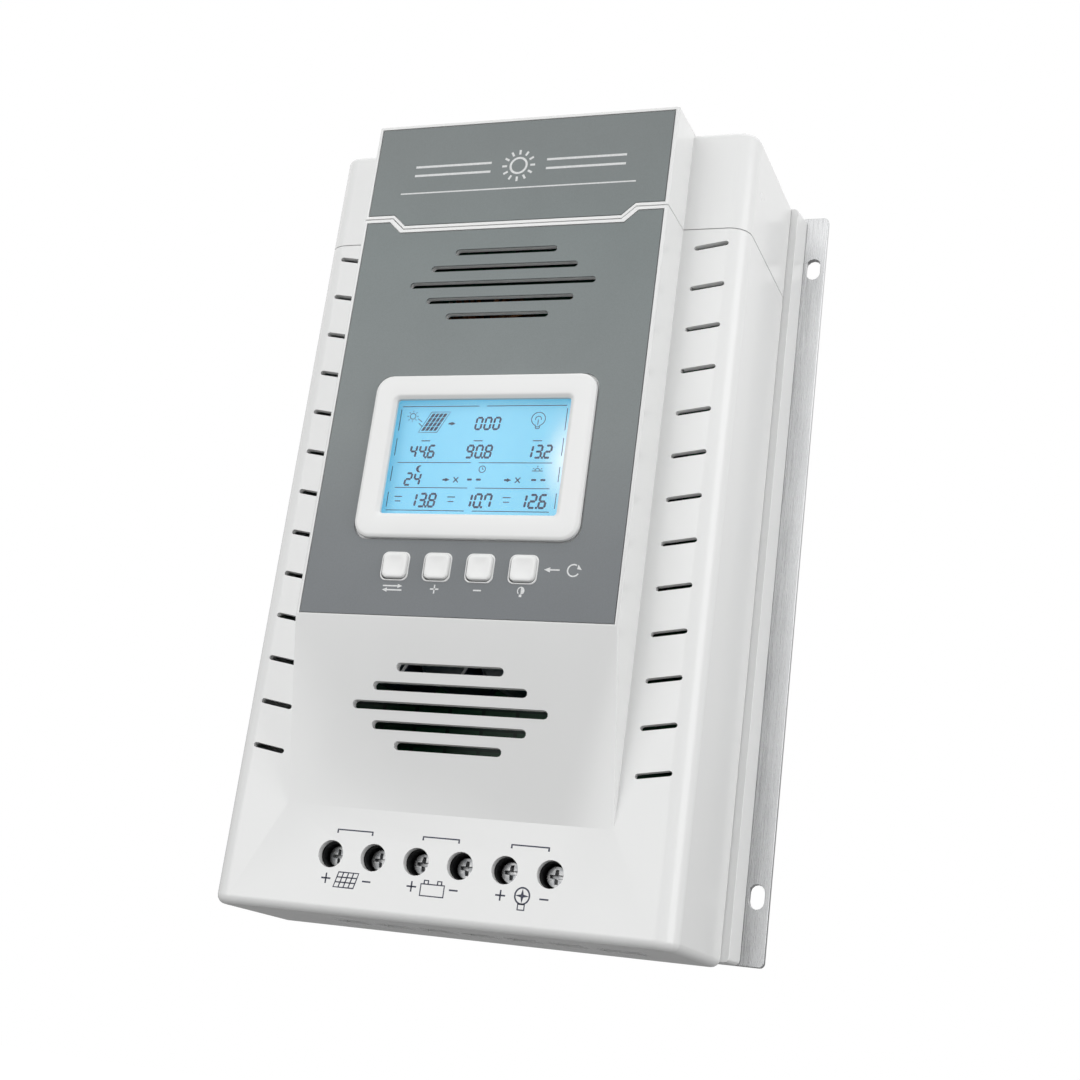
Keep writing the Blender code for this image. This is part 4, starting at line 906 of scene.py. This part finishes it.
def load_sign(u, v, line):
    """A bulb with a four-pointed spark in it, which is a patch."""
    lines = [(line, looped(arc(u, v + 0.5, 2.1, 2.2, 0, 360, 28)[:-1])),
             (line, looped(bar(u, v - 2.5, 1.9, 1.5)))]
    star = []
    for point in range(8):
        reach = 0.55 if point % 2 else 2.0
        turn = math.pi / 4 * point
        star.append((u + reach * math.cos(turn), v + 0.5 + reach * math.sin(turn)))
    return lines, star


def terminal_signs(finish):
    """The three pairs: panel, battery and load, each with its plus, its minus and a bracket."""
    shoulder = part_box("front_cover")[0].y + SLAB_RISE
    well = middle("terminal_screw_1").z
    origin = Vector((0, shoulder, well))
    line = CASE_LINE / MM
    pitch = (middle("terminal_screw_3").x - middle("terminal_screw_1").x) / MM
    lines, patches = [], []
    drop = -6.9
    for index in range(3):
        u = (index - 1) * pitch - 0.6
        lines += plus(u - 6.3, drop + 0.1, 2.9, line) + minus(u + 6.3, drop + 0.1, 2.6, line)
        lines.append((line * 1.2, [(u - 4.8, 6.0), (u - 4.8, 7.0), (u + 6.0, 7.0), (u + 6.0, 6.0)]))
    lines += panel_sign((-pitch - 0.6, drop, 6.2, 4.2, 1.1), 4, 3, line, line * 0.8)
    lines += battery_sign(-0.6, drop, line)
    bulb, star = load_sign(pitch - 0.6, drop, line)
    lines += bulb
    patches.append(star)
    return printed("terminal_signs", origin, finish, lines, patches)


# ---- screws, clamps, coils

def turned_shape(profile, sides):
    """A turned shape about the Y axis from (radius, y) pairs, closed at both ends."""
    shape = bmesh.new()
    rings = []
    for radius, y in profile:
        if radius == 0:
            rings.append([shape.verts.new((0, y, 0))])
            continue
        rings.append([shape.verts.new((radius * math.cos(2 * math.pi * side / sides), y,
                                       radius * math.sin(2 * math.pi * side / sides)))
                      for side in range(sides)])
    for near, far in zip(rings, rings[1:]):
        for side in range(sides):
            after = (side + 1) % sides
            corners = [near[side % len(near)], near[after % len(near)],
                       far[after % len(far)], far[side % len(far)]]
            shape.faces.new(list(dict.fromkeys(corners)))
    bmesh.ops.recalc_face_normals(shape, faces=shape.faces)
    return shape


def add_block(shape, centre, size):
    place = Matrix.LocRotScale(Vector(centre), None, Vector(size))
    bmesh.ops.create_cube(shape, size=1, matrix=place)


def crossed(blank, face, depth, size, width):
    """Cuts a cross recess into a blank's end, from the y of its face inwards."""
    cutter = bmesh.new()
    for wide, high in ((size, width), (width, size)):
        add_block(cutter, (0, face, 0), (wide, 2 * depth, high))
    tool = shaded("cross_cutter", cutter)
    step = blank.modifiers.new("cross recess", "BOOLEAN")
    step.operation = "DIFFERENCE"
    step.solver = "EXACT"
    step.use_self = True
    step.object = tool
    mesh = evaluated(blank)
    blank.modifiers.clear()
    blank.data = mesh
    bpy.data.objects.remove(tool)
    return blank


def screws(name, nodes, profile, face, recess, finish):
    """One piece of equal screws, each turned a little differently, in place of its nodes."""
    blank = crossed(shaded(name + "_blank", turned_shape(profile, 28)), face, *recess)
    places = []
    for index, node in enumerate(nodes):
        centre = middle(node)
        places.append(((centre.x, 0, centre.z), (0, 0.5 + 1.1 * index, 0), (1, 1, 1)))
    return copied(name, blank, places, finish, nodes)


def cover_screws(finish):
    nodes = [f"cover_screw_{index}" for index in range(1, 5)]
    low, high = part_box(nodes[0])
    head, shank = (high.x - low.x) / 2, 1.4 * MM
    back = high.y
    profile = [(0, back), (head * 0.9, back), (head, back - 0.12 * MM), (shank, back - 1.6 * MM),
               (shank, low.y + 1.0 * MM), (shank * 0.5, low.y), (0, low.y)]
    return screws("cover_screw_set", nodes, profile, back, (1.3 * MM, 3.4 * MM, 0.75 * MM), finish)


def display_screws(finish):
    nodes = [f"display_screw_{index}" for index in range(1, 5)]
    low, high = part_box(nodes[0])
    head, shank = (high.x - low.x) / 2, 1.0 * MM
    profile = [(0, high.y), (head * 0.55, high.y - 0.05 * MM), (head * 0.9, high.y - 0.5 * MM),
               (head, high.y - 0.9 * MM), (head, high.y - 1.7 * MM), (shank, high.y - 1.7 * MM),
               (shank, low.y), (0, low.y)]
    return screws("display_screw_set", nodes, profile, high.y, (0.9 * MM, 2.4 * MM, 0.55 * MM),
                  finish)


def ring_shape(major, minor, sides, around):
    """A ring about the Z axis."""
    shape = bmesh.new()
    loops = []
    for step in range(sides):
        turn = 2 * math.pi * step / sides
        out = Vector((math.cos(turn), math.sin(turn), 0))
        angles = [2 * math.pi * part / around for part in range(around)]
        loops.append([shape.verts.new(out * (major + minor * math.cos(angle))
                                      + Vector((0, 0, minor * math.sin(angle))))
                      for angle in angles])
    for index, loop in enumerate(loops):
        after = loops[(index + 1) % sides]
        for part in range(around):
            nxt = (part + 1) % around
            shape.faces.new((loop[part], after[part], after[nxt], loop[nxt]))
    bmesh.ops.recalc_face_normals(shape, faces=shape.faces)
    return shape


COIL_TURNS = 34
WIRE = 0.85 * MM                # radius of the winding wire
LEG_PITCH = 0.85 * MM


def inductor(index, core_finish, wire_finish):
    """A toroid core under close turns of enamelled wire."""
    node = f"inductor_{index}"
    low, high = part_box(node)
    centre = middle(node)
    minor = (high.y - low.y) / 2
    major = (high.x - low.x) / 2 - minor
    core = ring_shape(major, minor - 2 * WIRE, 56, 16)
    core.transform(Matrix.Translation(centre) @ Matrix.Rotation(math.pi / 2, 4, "X"))
    to_piece(f"inductor_core_{index}", core, core_finish, (node,))
    blank = shaded("turn_blank", ring_shape(minor - WIRE, WIRE * 0.98, 22, 6))
    places = []
    for turn in range(COIL_TURNS):
        angle = 2 * math.pi * (turn + 0.5) / (COIL_TURNS + 2) + math.pi / 2
        spot = centre + Vector((major * math.cos(angle), 0, major * math.sin(angle)))
        places.append((tuple(spot), (0, -angle, 0), (1, 1, 1)))
    copied(f"inductor_winding_{index}", blank, places, wire_finish)


def board_parts(finishes):
    """Chips on the main board, each with a row of legs either side."""
    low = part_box("main_board")[0]
    chip = bmesh.new()
    add_block(chip, (0, -1.0 * MM, 0), (7 * MM, 1.6 * MM, 4.4 * MM))
    bmesh.ops.bevel(chip, geom=chip.edges[:], offset=0.2 * MM, segments=1, affect="EDGES")
    places = [((x * MM, low.y, low.z + z * MM), (0, turn, 0), (1, 1, 1))
              for x, z, turn in ((-22, 96, 0), (-8, 96, 0), (12, 104, 0), (30, 92, math.pi / 2),
                                 (-34, 104, math.pi / 2), (2, 84, 0), (24, 112, 0))]
    copied("board_chips", shaded("chip_blank", chip), places, finishes["moulding"])
    leg = bmesh.new()
    add_block(leg, (0, -0.3 * MM, 0), (0.4 * MM, 0.5 * MM, 1.2 * MM))
    legs = []
    for (x, y, z), (_, turn, _), _ in places:       # only the turn about Y differs
        for step in range(8):
            for side in (-1, 1):
                u, v = (step - 3.5) * LEG_PITCH, side * 2.6 * MM
                spot = (x + u * math.cos(turn) + v * math.sin(turn), y,
                        z - u * math.sin(turn) + v * math.cos(turn))
                legs.append((spot, (0, turn, 0), (1, 1, 1)))
    copied("board_chip_legs", shaded("leg_blank", leg), legs, finishes["zinc"])


# ---- the whole object

def make_finishes():
    return {
        "white": white_abs(),
        "film": overlay_film(),
        "sheet": brushed_aluminium("brushed_sheet", (1, 1, 0.02), (0.68, 0.685, 0.69),
                                   (0.46, 0.465, 0.47), 0.26),
        "extrusion": brushed_aluminium("extruded_aluminium", (1, 1, 0.03), (0.74, 0.745, 0.75),
                                       (0.50, 0.51, 0.52), 0.36),
        "zinc": plated_steel("zinc_plate", (0.66, 0.66, 0.64), (0.42, 0.43, 0.44)),
        # A darker copy of the zinc plate: painted shade for the pole screws sunk deep in their
        # wells.
        "shade_painted_zinc": plated_steel("shade_painted_zinc", (0.40, 0.40, 0.40), (0.20, 0.21, 0.22)),
        "moulding": dark_moulding("black_moulding", (0.012, 0.012, 0.013)),
        "block": dark_moulding("terminal_moulding", (0.010, 0.010, 0.011), 0.45),
        "board": circuit_board(),
        "brass": turned_brass(),
        "wire": enamelled_copper(),
        "sleeve": capacitor_can(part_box("capacitor_1")[0].y),
        "fuse": tinted_plastic("fuse_amber", (0.55, 0.16, 0.01), (0.85, 0.34, 0.03), 0.22),
        "guide": tinted_plastic("light_guide", (0.70, 0.82, 0.90), (0.88, 0.95, 1.0), 0.35),
        "ribbon": tinted_plastic("ribbon_grey", (0.30, 0.30, 0.31), (0.52, 0.52, 0.54), 0.45),
        "pane": clear_pane(),
        "display": lit_glass(*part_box("lcd_window")),
        "pale_ink": ink("pale_ink", (0.68, 0.69, 0.69), (0.80, 0.81, 0.81)),
        "navy_ink": ink("navy_ink", (0.020, 0.024, 0.050), (0.045, 0.050, 0.085)),
        "display_ink": ink("display_ink", (0.006, 0.020, 0.085), (0.012, 0.035, 0.125)),
    }


CARRIED = {
    "film": ("header_label", "face_label"),
    "pane": ("lcd_window",),
    "display": ("lcd_panel",),
    "guide": ("lcd_backlight",),
    "board": ("display_board", "main_board"),
    "moulding": ("transistor_bank_left", "transistor_bank_right")
                + tuple(f"switch_{index}" for index in range(1, BUTTONS + 1)),
    "brass": tuple(f"board_standoff_{index}" for index in range(1, 5)),
    "sleeve": tuple(f"capacitor_{index}" for index in range(1, 5)),
    "fuse": ("fuse_1", "fuse_2"),
    "ribbon": ("ribbon_cable",),
    "extrusion": ("heat_sink",),
}


def carry_over(finishes):
    """The CAD pieces whose shape is right as it is get their real finish."""
    for finish, nodes in CARRIED.items():
        for node in nodes:
            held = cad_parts[node]
            for slot in held.material_slots:
                slot.material = finishes[finish]


def case(finishes):
    for node, name in (("front_cover", "cover"), ("top_cap", "cap"), ("rear_case", "tray")):
        softened(node, name, finishes["white"], CASE_EDGE)
    softened("back_plate", "mounting_sheet", finishes["sheet"], SHEET_EDGE,
             segments=2)
    cover_screws(finishes["zinc"])
    header_mark(finishes["pale_ink"])


def front(finishes):
    bezel(finishes["white"])
    display_symbols(finishes["display_ink"])
    for index in range(1, BUTTONS + 1):
        button_cap(index, finishes["white"])
    key_collars(finishes["white"])
    key_signs(finishes["pale_ink"])
    display_screws(finishes["zinc"])


def terminals(finishes):
    softened("terminal_block", "pole_block", finishes["block"], METAL_EDGE,
             segments=2)
    for index in range(1, POLES + 1):
        # The pole screws wear the darker zinc copy, as painted shade for their deep wells.
        for node, name, finish in ((f"terminal_screw_{index}", f"pole_screw_{index}", "shade_painted_zinc"),
                                   (f"clamp_{index}", f"wire_clamp_{index}", "zinc")):
            softened(node, name, finishes[finish], METAL_EDGE, node, 2)
    softened("data_socket", "socket_shell", finishes["moulding"], METAL_EDGE,
             segments=2)
    terminal_signs(finishes["navy_ink"])


def inside(finishes):
    for index in (1, 2):
        inductor(index, finishes["moulding"], finishes["wire"])
    board_parts(finishes)


def camera():
    made = link("camera", bpy.data.cameras.new("camera"))
    right = AIM.cross(CAMERA_UP).normalized()
    up = right.cross(AIM).normalized()
    place = Matrix((right, up, -AIM.normalized())).transposed().to_4x4()
    place.translation = EYE
    made.matrix_world = place
    made.data.sensor_width = SENSOR
    made.data.lens = LENS
    bpy.context.scene.camera = made


def studio():
    """White all round for the camera; as a light, bright above and dim below, with soft boxes."""
    world = bpy.data.worlds.new("studio")
    world.use_nodes = True
    bpy.context.scene.world = world
    tree = world.node_tree
    spot = tree.nodes.new("ShaderNodeTexCoord")
    ray = tree.nodes.new("ShaderNodeLightPath")
    rise = level(tree, split(tree, spot.outputs["Generated"])["Z"], 0.07, 1.05, -0.05, 0.50)
    seen = add_node(tree, "ShaderNodeMix",
                    {"Factor": ray.outputs["Is Camera Ray"], "A": rise, "B": 1.0})
    feed(tree, tree.nodes["Background"],
         {"Color": (1, 1, 1, 1), "Strength": seen.outputs["Result"]})
    for name, place, target, size, power in (
            ("front_box", (-0.9, -1.9, 0.25), (0, -0.03, 0), (1.8, 1.8), 17),
            ("right_box", (1.7, -0.5, 0.16), (0.05, -0.03, 0), (1.2, 1.8), 14)):
        lamp = bpy.data.lights.new(name, "AREA")
        lamp.shape = "RECTANGLE"
        lamp.size, lamp.size_y = size
        lamp.energy = power
        made = link(name, lamp)
        made.location = place
        aim = Vector(target) - Vector(place)
        made.rotation_euler = aim.to_track_quat("-Z", "Y").to_euler()


def floor():
    shape = bmesh.new()
    bmesh.ops.create_grid(shape, x_segments=2, y_segments=2, size=FLOOR_HALF)
    bmesh.ops.translate(shape, verts=shape.verts, vec=(0, 0, FLOOR_Z))
    mesh = mesh_of("floor", shape)
    mesh.materials.append(painted_floor())
    link("floor", mesh)


def build():
    finishes = make_finishes()
    carry_over(finishes)
    case(finishes)
    front(finishes)
    terminals(finishes)
    inside(finishes)
    camera()
    studio()
    floor()
    bpy.context.scene.view_settings.view_transform = "Standard"


LINES = line_tree()
COPIES = copies_tree()
build()

bpy.context.view_layer.update()
